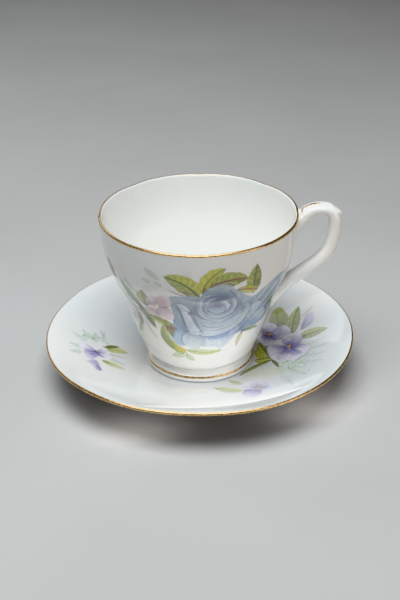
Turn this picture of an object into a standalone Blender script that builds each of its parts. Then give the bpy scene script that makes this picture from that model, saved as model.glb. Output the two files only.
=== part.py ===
"""Teacup and saucer in bone china, with gilt edges and printed flower sprays.

Metres, +Z up. The origin is on the table under the middle of the saucer, and the handle points
along +X. A profile is a list of (radius, height) points that turns about the Z axis.
"""

from math import atan2, cos, pi, radians, sin

import bmesh
import bpy
from mathutils import Vector

MM = 0.001

# Saucer
SAUCER_RADIUS = 70.0 * MM
SAUCER_HEIGHT = 19.5 * MM
SAUCER_THICKNESS = 2.4 * MM
SAUCER_EDGE_RADIUS = 0.85 * MM
SAUCER_FOOT_RADIUS = 37.0 * MM
SAUCER_FOOT_WIDTH = 2.4 * MM
WELL_HEIGHT = 5.7 * MM
WELL_CLEARANCE = 2.4 * MM
WELL_STEP = 0.9 * MM
WELL_RAMP = 2.0 * MM
SAUCER_WAVE = 0.45 * MM
SAUCER_WAVE_ANGLE = radians(33)
SAUCER_FLUTING = 0.15 * MM

# Cup
CUP_HEIGHT = 72.1 * MM
RIM_RADIUS = 43.6 * MM
WAIST_RADIUS = 22.5 * MM
FOOT_RADIUS = 24.3 * MM
FOOT_HEIGHT = 5.3 * MM
FOOT_WIDTH = 3.6 * MM
CUP_WALL = 2.0 * MM
CUP_FLOOR = 2.6 * MM
LIP_RADIUS = 0.85 * MM
RIM_DENT = 0.3 * MM

# Handle
HANDLE_REACH = 18.2 * MM
HANDLE_THICKNESS = 5.2 * MM
HANDLE_WIDTH = 8.0 * MM
THUMB_REST_LENGTH = 5.0 * MM

# Gilding and prints
GILDING_WIDTH = 1.3 * MM
FOOT_GILDING_HEIGHT = 2.0 * MM
HANDLE_GILDING_WIDTH = 1.6 * MM
FILM = 0.3 * MM
CUP_PRINT_ARC = (radians(-162), radians(-22))
CUP_PRINT_SHARES = (0.10, 0.90)
SAUCER_PRINTS = {
    "saucer_transfer_right": (radians(-82), radians(48), 0.04, 0.78),
    "saucer_transfer_left": (radians(155), radians(205), 0.14, 0.74),
}

# Fits and fineness
GAP = 0.3 * MM
LOBES = 8
STEPS = 48
ARC_STEPS = 5
SECTION_SIDES = 12
SPAN_STEPS = 2
MERGE = 0.01 * MM

# The bowl's outline from waist to rim: shares of its height and of its widening.
BOWL_OUTLINE = (
    (0.00, 0.00),
    (0.04, 0.123),
    (0.10, 0.196),
    (0.19, 0.305),
    (0.31, 0.430),
    (0.43, 0.525),
    (0.49, 0.604),
    (0.55, 0.697),
    (0.67, 0.846),
    (0.79, 0.929),
    (0.91, 0.977),
    (1.00, 1.00),
)

# The middle of the bowl's inside: shares of the waist's radius and of the floor's thickness.
BOWL_HEART = ((0.0, 0.0), (0.5, 0.06), (0.82, 0.36))

# The foot's outer line below its top: shares of its flare and of its height.
FOOT_OUTLINE = ((0.25, 0.66), (0.75, 0.40), (1.0, 0.14))

# The saucer's upper face outside the well: shares of the way out and of the rise to the edge.
SAUCER_OUTLINE = ((0.0, 0.0), (0.24, 0.13), (0.48, 0.33), (0.72, 0.61), (0.9, 0.87), (1.0, 1.0))

# The handle's centreline. Each station holds its distance from the bowl as a share of the reach,
# its height as a share of the cup, and its thickness and width as shares of the strap's own.
HANDLE_STATIONS = (
    (-0.16, 0.925, 2.10, 1.45),
    (0.02, 0.962, 1.55, 1.25),
    (0.16, 0.996, 1.05, 1.08),
    (0.33, 1.013, 0.88, 1.00),
    (0.55, 1.017, 0.86, 0.98),
    (0.76, 0.996, 0.98, 0.98),
    (0.87, 0.930, 1.08, 0.98),
    (0.895, 0.828, 1.06, 0.96),
    (0.85, 0.738, 1.05, 0.96),
    (0.68, 0.659, 1.05, 0.98),
    (0.445, 0.594, 1.05, 1.00),
    (0.22, 0.524, 1.05, 1.04),
    (0.07, 0.445, 0.95, 1.02),
    (0.015, 0.385, 0.60, 0.80),
    (0.0, 0.355, 0.30, 0.50),
)
HANDLE_GILT_SHARES = (0.17, 0.32)

# The thumb rest: how far it runs back and forward from the handle's corner, and its half thickness
# and half width at each end and at the corner, as shares of its length and the strap's thickness.
THUMB_REST_LINE = ((-0.90, 0.25), (0.0, 0.0), (0.86, -0.12))
THUMB_REST_SECTIONS = ((0.36, 0.55), (0.40, 0.62), (0.12, 0.22))

RIM_HEIGHT = WELL_HEIGHT + GAP + CUP_HEIGHT
WAIST_HEIGHT = WELL_HEIGHT + GAP + FOOT_HEIGHT


def clear_scene():
    for obj in list(bpy.data.objects):
        bpy.data.objects.remove(obj)


def new_collection(name, hidden=False):
    collection = bpy.data.collections.new(name)
    collection.hide_render = hidden
    bpy.context.scene.collection.children.link(collection)
    return collection


def new_material(name, colour, roughness, metallic=0.0):
    material = bpy.data.materials.new(name)
    material.use_nodes = True
    material.diffuse_color = (*colour, 1.0)
    shader = material.node_tree.nodes["Principled BSDF"]
    shader.inputs["Base Color"].default_value = (*colour, 1.0)
    shader.inputs["Roughness"].default_value = roughness
    shader.inputs["Metallic"].default_value = metallic
    return material


def smooth(points, steps):
    """A Catmull-Rom curve through the points, with this many steps in each span."""
    points = [Vector(p) for p in points]
    padded = [2 * points[0] - points[1], *points, 2 * points[-1] - points[-2]]
    curve = []
    for a, b, c, d in zip(padded, padded[1:], padded[2:], padded[3:]):
        for k in range(steps):
            t = k / steps
            bend = (2 * a - 5 * b + 4 * c - d) * t * t + (3 * b - a - 3 * c + d) * t**3
            curve.append(b + ((c - a) * t + bend) / 2)
    return [*curve, points[-1]]


def offset(points, distance):
    """The (radius, height) points moved square to their line, to the right of its direction."""
    moved = []
    last = len(points) - 1
    for k, point in enumerate(points):
        along = points[min(k + 1, last)] - points[max(k - 1, 0)]
        side = Vector((along.y, -along.x)).normalized()
        moved.append(point + side * distance)
    return moved


def arc(centre, radius, start, end, steps=ARC_STEPS):
    """Points on a circle, from one angle to another."""
    angles = [start + (end - start) * k / steps for k in range(steps + 1)]
    return [Vector((centre.x + radius * cos(a), centre.y + radius * sin(a))) for a in angles]


def turned(name, profile, material, collection, closed=False, start=0.0, sweep=2 * pi):
    """A profile turned about the Z axis, from the angle start through sweep."""
    mesh = bpy.data.meshes.new(name)
    edges = [(k, k + 1) for k in range(len(profile) - 1)]
    if closed:
        edges.append((len(profile) - 1, 0))
    mesh.from_pydata([(p[0], 0.0, p[1]) for p in profile], edges, [])
    obj = bpy.data.objects.new(name, mesh)
    collection.objects.link(obj)
    mesh.materials.append(material)
    obj.rotation_euler.z = start
    screw = obj.modifiers.new("turn", "SCREW")
    screw.angle = sweep
    screw.steps = round(STEPS * sweep / (2 * pi))
    screw.render_steps = screw.steps
    screw.use_merge_vertices = sweep == 2 * pi
    screw.merge_threshold = MERGE
    return obj


def make_real(obj):
    """The object with its modifiers and its turn made part of its mesh."""
    bpy.context.view_layer.update()
    mesh = bpy.data.meshes.new_from_object(obj.evaluated_get(bpy.context.evaluated_depsgraph_get()))
    mesh.transform(obj.matrix_world)
    obj.modifiers.clear()
    obj.rotation_euler.z = 0.0
    obj.data = mesh
    mesh.shade_smooth()
    mesh.set_sharp_from_angle(angle=radians(40))


def shape(obj, rule):
    """The object made real, with each point moved by the rule."""
    make_real(obj)
    for vertex in obj.data.vertices:
        vertex.co = rule(vertex.co)
    obj.data.update()


def ramp(value, low, high):
    t = min(max((value - low) / (high - low), 0.0), 1.0)
    return t * t * (3 - 2 * t)


def azimuth_of(point):
    return atan2(point.y, point.x)


def lobed_rim(point):
    """The cup's rim in shallow lobes: a small dent, inwards and down, where two lobes meet."""
    share = ramp(point.z, RIM_HEIGHT - 0.35 * CUP_HEIGHT, RIM_HEIGHT)
    dent = (1 - abs(sin(azimuth_of(point) * LOBES / 2))) ** 2 * share * RIM_DENT
    radius = point.xy.length
    scale = (radius - dent) / radius if radius > MERGE else 1.0
    return Vector((point.x * scale, point.y * scale, point.z - dent))


def waved_saucer(point):
    """The saucer's edge in four soft waves, with faint flutes running in from it."""
    radius = point.xy.length
    share = ramp(radius, SAUCER_FOOT_RADIUS, SAUCER_RADIUS)
    around = azimuth_of(point)
    wave = SAUCER_WAVE * cos(4 * (around - SAUCER_WAVE_ANGLE)) * share
    lift = SAUCER_FLUTING * cos(LOBES * around) * share
    scale = (radius + wave) / radius if radius > MERGE else 1.0
    return Vector((point.x * scale, point.y * scale, point.z + lift))


def bowl_radius(share):
    """The bowl's outer radius at a share of its height, from waist to rim."""
    for (low, r_low), (high, r_high) in zip(BOWL_OUTLINE, BOWL_OUTLINE[1:]):
        if share <= high:
            widening = r_low + (r_high - r_low) * (share - low) / (high - low)
            return WAIST_RADIUS + (RIM_RADIUS - WAIST_RADIUS) * widening
    return RIM_RADIUS


def bowl_outside():
    """The bowl's outer line, from the rim down to the waist."""
    rise = RIM_HEIGHT - WAIST_HEIGHT
    widening = RIM_RADIUS - WAIST_RADIUS
    line = [Vector((WAIST_RADIUS + s * widening, WAIST_HEIGHT + t * rise)) for t, s in BOWL_OUTLINE]
    return line[::-1]


def lip_centre():
    return Vector((RIM_RADIUS - LIP_RADIUS - FILM - GAP, RIM_HEIGHT - LIP_RADIUS - FILM - GAP))


def saucer_top():
    """The saucer's upper line, from the middle out to where its edge begins to round."""
    well = FOOT_RADIUS + WELL_CLEARANCE
    inner = Vector((well + WELL_RAMP, WELL_HEIGHT + WELL_STEP))
    span = saucer_edge_centre() + Vector((0.0, SAUCER_EDGE_RADIUS)) - inner
    slope = [inner + Vector((out * span.x, rise * span.y)) for out, rise in SAUCER_OUTLINE]
    return [Vector((0.0, WELL_HEIGHT)), Vector((well, WELL_HEIGHT)), *slope]


def saucer_edge_centre():
    inset = SAUCER_EDGE_RADIUS + FILM + GAP
    return Vector((SAUCER_RADIUS - inset, SAUCER_HEIGHT - inset))


def make_saucer(material, collection):
    top = saucer_top()
    outer_foot = SAUCER_FOOT_RADIUS + SAUCER_FOOT_WIDTH / 2
    inner_foot = SAUCER_FOOT_RADIUS - SAUCER_FOOT_WIDTH / 2
    under = [p for p in offset(top, SAUCER_THICKNESS) if p.x > outer_foot + SAUCER_FOOT_WIDTH]
    centre = saucer_edge_centre()
    recess = WELL_HEIGHT - SAUCER_THICKNESS
    chamfer = SAUCER_FOOT_WIDTH / 6
    foot = [
        Vector((outer_foot + chamfer, under[0].y - chamfer)),
        Vector((outer_foot, chamfer)),
        Vector((outer_foot - chamfer, 0.0)),
        Vector((inner_foot + chamfer, 0.0)),
        Vector((inner_foot, chamfer)),
        Vector((inner_foot - chamfer, recess - chamfer)),
        Vector((inner_foot - 3 * chamfer, recess)),
        Vector((0.0, recess)),
    ]
    edge = arc(centre, SAUCER_EDGE_RADIUS, radians(90), radians(-70))
    kept = [p for p in under if p.x < edge[-1].x - SAUCER_EDGE_RADIUS]
    saucer = turned("saucer", [*top[:-1], *edge, *kept[::-1], *foot], material, collection)
    shape(saucer, waved_saucer)


def wrapped_edge(centre, radius, start, end):
    """A closed section of film that wraps an edge's round, a gap away from it."""
    inside = arc(centre, radius + GAP, start, end)
    outside = arc(centre, radius + GAP + FILM, end, start)
    return [*inside, *outside]


def make_saucer_gilding(material, collection):
    section = wrapped_edge(saucer_edge_centre(), SAUCER_EDGE_RADIUS, radians(-60), radians(75))
    gilding = turned("saucer_rim_gilding", section, material, collection, closed=True)
    shape(gilding, waved_saucer)


def make_bowl(material, collection):
    outside = bowl_outside()
    centre = lip_centre()
    lip = arc(centre, LIP_RADIUS, radians(170), radians(-60))
    outside = [p for p in outside if p.y < centre.y - LIP_RADIUS - GAP - FILM]
    floor = WAIST_HEIGHT + CUP_FLOOR
    inside = [p for p in offset(outside, CUP_WALL) if p.y > floor + CUP_FLOOR]
    heart = [(out * WAIST_RADIUS, floor + rise * CUP_FLOOR) for out, rise in BOWL_HEART]
    heart = smooth([*heart, inside[-1]], SPAN_STEPS)
    profile = [*heart[:-1], *inside[::-1], *lip, *outside, Vector((0.0, WAIST_HEIGHT))]
    bowl = turned("cup_bowl", profile, material, collection)
    shape(bowl, lobed_rim)


def make_rim_gilding(material, collection):
    section = wrapped_edge(lip_centre(), LIP_RADIUS, radians(-20), radians(150))
    gilding = turned("cup_rim_gilding", section, material, collection, closed=True)
    shape(gilding, lobed_rim)


def foot_outside():
    """The foot's outer line, from the waist down to the well, flaring as it goes."""
    bottom = WELL_HEIGHT + GAP
    top = WAIST_HEIGHT - GAP
    flare = FOOT_RADIUS - WAIST_RADIUS
    sides = [(WAIST_RADIUS + out * flare, bottom + rise * FOOT_HEIGHT) for out, rise in FOOT_OUTLINE]
    ends = (WAIST_RADIUS, top), (FOOT_RADIUS - 0.15 * FOOT_WIDTH, bottom)
    return smooth([ends[0], *sides, ends[1]], SPAN_STEPS)


def make_foot(material, collection):
    outside = foot_outside()
    inner = FOOT_RADIUS - FOOT_WIDTH
    draft = 0.2 * FOOT_WIDTH
    inside = [
        Vector((inner + draft, outside[-1].y)),
        Vector((inner, outside[-1].y + draft)),
        Vector((inner - draft, outside[0].y)),
    ]
    foot = turned("cup_foot", [*outside, *inside], material, collection, closed=True)
    make_real(foot)


def make_foot_gilding(material, collection):
    """A band on the foot's flare, FOOT_GILDING_HEIGHT above the well."""
    middle = WELL_HEIGHT + GAP + FOOT_GILDING_HEIGHT
    band = clipped(foot_outside(), 1, middle + GILDING_WIDTH / 2, middle - GILDING_WIDTH / 2)
    section = [*offset(band, -GAP - FILM), *offset(band, -GAP)[::-1]]
    gilding = turned("cup_foot_gilding", section, material, collection, closed=True)
    make_real(gilding)


def clipped(line, axis, first, final):
    """The stretch of a line whose radius (axis 0) or height (axis 1) runs from first to final."""
    def on_line(value):
        for a, b in zip(line, line[1:]):
            if min(a[axis], b[axis]) <= value <= max(a[axis], b[axis]) and a[axis] != b[axis]:
                return a.lerp(b, (value - a[axis]) / (b[axis] - a[axis]))
        return min(line, key=lambda point: abs(point[axis] - value))

    low, high = sorted((first, final))
    between = [point for point in line if low + MERGE < point[axis] < high - MERGE]
    return [on_line(first), *between, on_line(final)]


def handle_line():
    """Centre, half thickness and half width at each step along the handle, from rim to tail."""
    stations = []
    for out, height, thickness, width in HANDLE_STATIONS:
        z = WELL_HEIGHT + GAP + height * CUP_HEIGHT
        share = min((z - WAIST_HEIGHT) / (RIM_HEIGHT - WAIST_HEIGHT), 1.0)
        x = bowl_radius(share) + out * HANDLE_REACH
        stations.append((x, z, thickness * HANDLE_THICKNESS / 2, width * HANDLE_WIDTH / 2))
    centres = smooth([s[:2] for s in stations], SPAN_STEPS)
    sizes = smooth([s[2:] for s in stations], SPAN_STEPS)
    return centres, sizes


def ellipse_loft(name, centres, sizes, material, collection):
    """A bar in the XZ plane: an ellipse at each centre, square to the line, with flat end caps."""
    mesh = bmesh.new()
    last = len(centres) - 1
    rings = []
    for k, (centre, size) in enumerate(zip(centres, sizes)):
        along = (centres[min(k + 1, last)] - centres[max(k - 1, 0)]).normalized()
        out = Vector((-along.y, 0.0, along.x))
        ring = []
        for side in range(SECTION_SIDES):
            angle = 2 * pi * side / SECTION_SIDES
            point = Vector((centre.x, size.y * sin(angle), centre.y)) + out * size.x * cos(angle)
            ring.append(mesh.verts.new(point))
        rings.append(ring)
    for ring, following in zip(rings, rings[1:]):
        for side in range(SECTION_SIDES):
            after = (side + 1) % SECTION_SIDES
            mesh.faces.new((ring[side], ring[after], following[after], following[side]))
    mesh.faces.new(rings[0][::-1])
    mesh.faces.new(rings[-1])
    bmesh.ops.recalc_face_normals(mesh, faces=mesh.faces)
    data = bpy.data.meshes.new(name)
    mesh.to_mesh(data)
    mesh.free()
    data.materials.append(material)
    data.shade_smooth()
    obj = bpy.data.objects.new(name, data)
    collection.objects.link(obj)
    return obj


def boolean(obj, cutter, operation):
    modifier = obj.modifiers.new(cutter.name, "BOOLEAN")
    modifier.operation = operation
    modifier.object = cutter
    modifier.solver = "EXACT"


def as_cutter(obj):
    obj.hide_render = True
    obj.display_type = "WIRE"
    return obj


def make_handle(material, collection, cutters):
    centres, sizes = handle_line()
    handle = ellipse_loft("cup_handle", centres, sizes, material, collection)

    corner = max(centres, key=lambda centre: centre.x + centre.y)
    line = [corner + Vector(point) * THUMB_REST_LENGTH for point in THUMB_REST_LINE]
    halves = [Vector(section) * HANDLE_THICKNESS for section in THUMB_REST_SECTIONS]
    beak = ellipse_loft("thumb_rest", line, halves, material, cutters)
    boolean(handle, as_cutter(beak), "UNION")

    above = RIM_HEIGHT + 0.2 * CUP_HEIGHT
    wall = [Vector((RIM_RADIUS + GAP, above)), *offset(bowl_outside(), -GAP)]
    profile = [Vector((0.0, above)), *wall, Vector((0.0, wall[-1].y))]
    cutter = turned("bowl_clearance", profile, material, cutters)
    boolean(handle, as_cutter(cutter), "DIFFERENCE")


def make_handle_gilding(material, collection):
    """A gilt line along the top of the handle, from near the rim to the thumb rest."""
    centres, sizes = handle_line()
    first, final = (round(share * (len(centres) - 1)) for share in HANDLE_GILT_SHARES)
    outer = offset(centres, -1.0)
    line = []
    for k in range(first, final + 1):
        out = outer[k] - centres[k]
        line.append(centres[k] + out * (sizes[k].x + GAP + FILM / 2))
    flat = [Vector((FILM / 2, HANDLE_GILDING_WIDTH / 2))] * len(line)
    ellipse_loft("cup_handle_gilding", line, flat, material, collection)


def film_on(name, line, start, sweep, material, collection, rule):
    """A print's film: a line of the surface, a gap above it, turned through an arc and thickened."""
    film = turned(name, offset(line, -GAP), material, collection, start=start, sweep=sweep)
    thicken = film.modifiers.new("film", "SOLIDIFY")
    thicken.thickness = FILM
    thicken.offset = 1.0
    shape(film, rule)


def make_cup_prints(material, collection):
    start, end = CUP_PRINT_ARC
    rise = RIM_HEIGHT - WAIST_HEIGHT
    low, high = (WAIST_HEIGHT + share * rise for share in CUP_PRINT_SHARES)
    line = clipped(bowl_outside(), 1, high, low)
    for name, turn in (("cup_transfer_front", 0.0), ("cup_transfer_back", pi)):
        film_on(name, line, start + turn, end - start, material, collection, lobed_rim)


def make_saucer_prints(material, collection):
    """Each print lies between two shares of the way out from the well to the edge."""
    well = FOOT_RADIUS + WELL_CLEARANCE + WELL_RAMP
    for name, (start, end, inner, outer) in SAUCER_PRINTS.items():
        low, high = (well + share * (SAUCER_RADIUS - well) for share in (inner, outer))
        line = clipped(saucer_top(), 0, low, high)
        film_on(name, line, start, end - start, material, collection, waved_saucer)


def main():
    clear_scene()
    parts = new_collection("teacup_and_saucer")
    cutters = new_collection("cutters", hidden=True)
    china = new_material("bone_china", (0.88, 0.88, 0.86), 0.08)
    gold = new_material("gilding", (0.80, 0.52, 0.20), 0.22, metallic=1.0)
    print_film = new_material("flower_print", (0.62, 0.68, 0.78), 0.12)

    make_saucer(china, parts)
    make_saucer_gilding(gold, parts)
    make_saucer_prints(print_film, parts)
    make_bowl(china, parts)
    make_foot(china, parts)
    make_handle(china, parts, cutters)
    make_rim_gilding(gold, parts)
    make_foot_gilding(gold, parts)
    make_handle_gilding(gold, parts)
    make_cup_prints(print_film, parts)


main()
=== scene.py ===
"""Bone china teacup and saucer: the fine surfaces, gilding, printed sprays, light and camera.

Lengths in the drawing code are millimetres, and `MM` turns them into metres when a mesh is made.
A profile is a list of (radius, height) points that turns about the Z axis. An azimuth of 0 is +X,
where the handle is, and the camera looks from -Y.
"""

import bmesh
import bpy
import numpy as np
from mathutils import Matrix, Vector
from mathutils.bvhtree import BVHTree


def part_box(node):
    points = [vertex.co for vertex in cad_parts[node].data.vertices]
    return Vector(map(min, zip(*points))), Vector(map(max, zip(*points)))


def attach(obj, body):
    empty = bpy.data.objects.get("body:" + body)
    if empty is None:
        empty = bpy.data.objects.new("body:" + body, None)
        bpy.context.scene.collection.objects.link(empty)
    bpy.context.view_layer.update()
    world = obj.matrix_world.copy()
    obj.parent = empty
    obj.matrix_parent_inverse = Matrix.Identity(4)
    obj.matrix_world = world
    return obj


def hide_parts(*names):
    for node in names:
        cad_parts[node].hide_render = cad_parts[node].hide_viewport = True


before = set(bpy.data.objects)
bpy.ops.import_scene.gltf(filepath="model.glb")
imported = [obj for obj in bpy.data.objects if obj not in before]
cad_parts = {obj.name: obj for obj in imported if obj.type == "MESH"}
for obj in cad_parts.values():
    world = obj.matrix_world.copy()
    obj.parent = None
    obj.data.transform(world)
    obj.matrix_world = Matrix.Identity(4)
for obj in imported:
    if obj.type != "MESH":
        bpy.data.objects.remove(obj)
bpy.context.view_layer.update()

MM = 0.001


def node_box(node):
    """A CAD node's lowest and highest corners, in millimetres."""
    low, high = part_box(node)
    return np.array(low) / MM, np.array(high) / MM


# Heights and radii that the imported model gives
RIM_TOP = node_box("cup_rim_gilding")[1][2]
FOOT_BOTTOM = node_box("cup_foot")[0][2]
BOWL_BOTTOM = node_box("cup_bowl")[0][2]
FOOT_RADIUS = node_box("cup_foot")[1][0]
SAUCER_TOP = node_box("saucer_rim_gilding")[1][2]

# Sizes that the faceted model only comes near
RIM_RADIUS = 43.6
WAIST_RADIUS = 22.5
RIM_DENT = 0.3
LOBES = 8
CUP_WALL = 2.0
LIP_THICKNESS = 1.25
SAUCER_RADIUS = 69.97
SAUCER_EDGE = 1.5
SAUCER_THICKNESS = 2.4
SAUCER_WAVE = 0.45
SAUCER_WAVE_ANGLE = np.radians(33)
SAUCER_FLUTING = 0.15
SAUCER_FOOT_RADIUS = 37.0
WELL_RADIUS = FOOT_RADIUS + 2.4
WELL_TOP = FOOT_BOTTOM - 0.3
FILM = 0.03

AROUND = 288


# ---------------------------------------------------------------- curves

def smooth(points, steps, closed=False):
    """A Catmull-Rom curve through the points, with this many steps in each span."""
    p = np.asarray(points, float)
    if closed:
        padded = np.concatenate([p[-1:], p, p[:2]])
    else:
        padded = np.concatenate([2 * p[:1] - p[1:2], p, 2 * p[-1:] - p[-2:-1]])
    a, b, c, d = padded[:-3], padded[1:-2], padded[2:-1], padded[3:]
    t = (np.arange(steps) / steps)[None, :, None]
    a, b, c, d = (q[:, None, :] for q in (a, b, c, d))
    curve = b + 0.5 * (t * (c - a) + t**2 * (2 * a - 5 * b + 4 * c - d) + t**3 * (3 * b - a - 3 * c + d))
    curve = curve.reshape(-1, p.shape[1])
    return curve if closed else np.concatenate([curve, p[-1:]])


def evenly(line, spacing):
    """The line with its points spaced evenly, about this far apart."""
    lengths = np.concatenate([[0.0], np.cumsum(np.linalg.norm(np.diff(line, axis=0), axis=1))])
    count = max(int(np.ceil(lengths[-1] / spacing)), 1)
    at = np.linspace(0, lengths[-1], count + 1)
    return np.stack([np.interp(at, lengths, line[:, k]) for k in range(line.shape[1])], axis=1)


def offset(line, distance):
    """The line moved square to itself, to the right of its direction."""
    along = np.gradient(line, axis=0)
    along /= np.linalg.norm(along, axis=1)[:, None]
    return line + distance * np.stack([along[:, 1], -along[:, 0]], axis=1)


def arc(centre, radius, start, end, steps=12):
    """Points on a circle from one angle to another, in degrees."""
    angles = np.radians(np.linspace(start, end, steps + 1))
    return np.asarray(centre) + radius * np.stack([np.cos(angles), np.sin(angles)], axis=1)


def ramp(value, low, high):
    t = np.clip((value - low) / (high - low), 0.0, 1.0)
    return t * t * (3 - 2 * t)


# ---------------------------------------------------------------- the forms' rules

def lobed_rim(points):
    """The cup's rim in shallow lobes: a small dent, inwards and down, where two lobes meet."""
    radius = np.hypot(points[:, 0], points[:, 1])
    around = np.arctan2(points[:, 1], points[:, 0])
    share = ramp(points[:, 2], RIM_TOP - 25.0, RIM_TOP)
    dent = (1 - np.abs(np.sin(around * LOBES / 2))) ** 2 * share * RIM_DENT
    scale = 1 - dent / np.maximum(radius, 1.0)
    return np.stack([points[:, 0] * scale, points[:, 1] * scale, points[:, 2] - dent], axis=1)


def waved_saucer(points):
    """The saucer's edge in four soft waves, with faint flutes running in from it."""
    radius = np.hypot(points[:, 0], points[:, 1])
    around = np.arctan2(points[:, 1], points[:, 0])
    share = ramp(radius, SAUCER_FOOT_RADIUS, SAUCER_RADIUS)
    wave = SAUCER_WAVE * np.cos(4 * (around - SAUCER_WAVE_ANGLE)) * share
    lift = SAUCER_FLUTING * np.cos(LOBES * around) * share
    scale = 1 + wave / np.maximum(radius, 1.0)
    return np.stack([points[:, 0] * scale, points[:, 1] * scale, points[:, 2] + lift], axis=1)


def as_is(points):
    return points


# The bowl's outline from waist to rim: shares of its height and of its widening.
BOWL_OUTLINE = (
    (0.00, 0.00), (0.04, 0.123), (0.10, 0.196), (0.19, 0.305), (0.31, 0.430), (0.43, 0.525),
    (0.49, 0.604), (0.55, 0.697), (0.67, 0.846), (0.79, 0.929), (0.91, 0.977), (1.00, 1.00),
)

# The foot's outline from the waist down: shares of its flare and of its height.
FOOT_OUTLINE = ((0.10, 0.84), (0.36, 0.66), (0.70, 0.48), (0.93, 0.30), (1.00, 0.15))


def cup_outside():
    """The cup's outer line from the rim, over the waist, to the foot's widest place."""
    shares = np.array(BOWL_OUTLINE)[::-1]
    bowl = np.stack([WAIST_RADIUS + shares[:, 1] * (RIM_RADIUS - WAIST_RADIUS),
                     BOWL_BOTTOM + shares[:, 0] * (RIM_TOP - BOWL_BOTTOM)], axis=1)
    shares = np.array(FOOT_OUTLINE)
    foot = np.stack([WAIST_RADIUS + shares[:, 0] * (FOOT_RADIUS - WAIST_RADIUS),
                     FOOT_BOTTOM + shares[:, 1] * (BOWL_BOTTOM - FOOT_BOTTOM)], axis=1)
    return evenly(smooth(np.concatenate([bowl, foot]), 12), 0.4)


CUP_LINE = cup_outside()


def bowl_radius(height):
    return np.interp(height, CUP_LINE[::-1, 1], CUP_LINE[::-1, 0])


SAUCER_OUTLINE = ((0.0, 0.0), (0.24, 0.13), (0.48, 0.33), (0.72, 0.61), (0.9, 0.87), (1.0, 1.0))


def saucer_edge_centre():
    half = SAUCER_EDGE / 2 + FILM
    return np.array([SAUCER_RADIUS - half, SAUCER_TOP - SAUCER_FLUTING - half])


def saucer_top():
    """The saucer's upper line, from the well's flat out to where its edge rounds over."""
    start = np.array([WELL_RADIUS + 2.0, WELL_TOP + 0.9])
    span = saucer_edge_centre() + [0.0, SAUCER_EDGE / 2] - start
    well = [[WELL_RADIUS - 5.0, WELL_TOP], [WELL_RADIUS - 2.0, WELL_TOP + 0.02],
            [WELL_RADIUS + 1.5, WELL_TOP + 0.4], [WELL_RADIUS + 6.0, WELL_TOP + 1.35]]
    return evenly(smooth([*well, *(start + np.array(SAUCER_OUTLINE[1:]) * span)], 12), 0.5)


SAUCER_LINE = saucer_top()


# ---------------------------------------------------------------- meshes

def add_object(name, points, faces, material, smooth_angle=None):
    """A mesh object from points in millimetres."""
    mesh = bpy.data.meshes.new(name)
    mesh.from_pydata((np.asarray(points) * MM).tolist(), [], [list(map(int, f)) for f in faces])
    mesh.validate()
    mesh.shade_smooth()
    if smooth_angle is not None:
        mesh.set_sharp_from_angle(angle=np.radians(smooth_angle))
    obj = bpy.data.objects.new(name, mesh)
    bpy.context.scene.collection.objects.link(obj)
    mesh.materials.append(material)
    return obj


def turned(name, profile, material, rule=as_is, around=AROUND, closed=False):
    """A profile turned about Z. It runs down its outer side, and may start and end on the axis."""
    profile = np.asarray(profile, float)
    on_axis = [not closed and profile[k][0] < 1e-6 for k in (0, -1)]
    body = profile[int(on_axis[0]): len(profile) - int(on_axis[1])]
    angles = 2 * np.pi * np.arange(around) / around
    ring = np.stack([np.cos(angles), np.sin(angles)], axis=1)
    xy = body[:, None, :1] * ring[None]
    z = np.broadcast_to(body[:, None, 1:], xy.shape[:2] + (1,))
    points = np.concatenate([xy, z], axis=2).reshape(-1, 3)
    rows = len(body)
    row = np.arange(rows if closed else rows - 1)
    r, k = np.meshgrid(row, np.arange(around), indexing="ij")
    below, after = (r + 1) % rows, (k + 1) % around
    quads = np.stack([r * around + k, below * around + k, below * around + after, r * around + after],
                     axis=-1)
    faces = quads.reshape(-1, 4).tolist()
    k = np.arange(around)
    for first, pole in ((0, on_axis[0]), (rows - 1, on_axis[1])):
        if pole:
            centre = len(points)
            points = np.concatenate([points, [[0.0, 0.0, profile[0 if first == 0 else -1][1]]]])
            edge = first * around + k
            nxt = first * around + (k + 1) % around
            fan = np.stack([np.full(around, centre), edge, nxt], axis=1)
            faces += (fan if first == 0 else fan[:, ::-1]).tolist()
    return add_object(name, rule(points), faces, material)


# ---------------------------------------------------------------- the cup

def lip_centre():
    half = LIP_THICKNESS / 2 + FILM
    return np.array([RIM_RADIUS - half, RIM_TOP - half])


def make_bowl(china):
    """The bowl, whose wall thins from the waist to a rounded lip."""
    centre = lip_centre()
    half = LIP_THICKNESS / 2
    lip = arc(centre, half, 175, 10, 16)
    outside = CUP_LINE[(CUP_LINE[:, 1] < centre[1] - 0.3) & (CUP_LINE[:, 1] > BOWL_BOTTOM)]
    outside = outside - np.array([FILM, 0.0]) * ramp(outside[:, 1], RIM_TOP - 8, RIM_TOP)[:, None]
    wall = CUP_WALL + (LIP_THICKNESS - CUP_WALL) * ramp(outside[:, 1], BOWL_BOTTOM, RIM_TOP)
    inside = offset(outside, wall[:, None])
    floor = BOWL_BOTTOM + 2.6
    inside = inside[inside[:, 1] > floor + 2.4][::2]
    heart = smooth([(0.0, floor), (9.0, floor + 0.06), (16.0, floor + 0.45), (20.5, floor + 1.3),
                    inside[-1]], 8)
    under = [(WAIST_RADIUS, BOWL_BOTTOM), (WAIST_RADIUS - 1.5, BOWL_BOTTOM), (0.0, BOWL_BOTTOM)]
    profile = np.concatenate([heart[:-1], inside[::-1], lip, outside, under])
    bowl = turned("cup_bowl_fine", profile, china, lobed_rim, around=320)
    bowl.data.set_sharp_from_angle(angle=np.radians(50))
    return bowl


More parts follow.
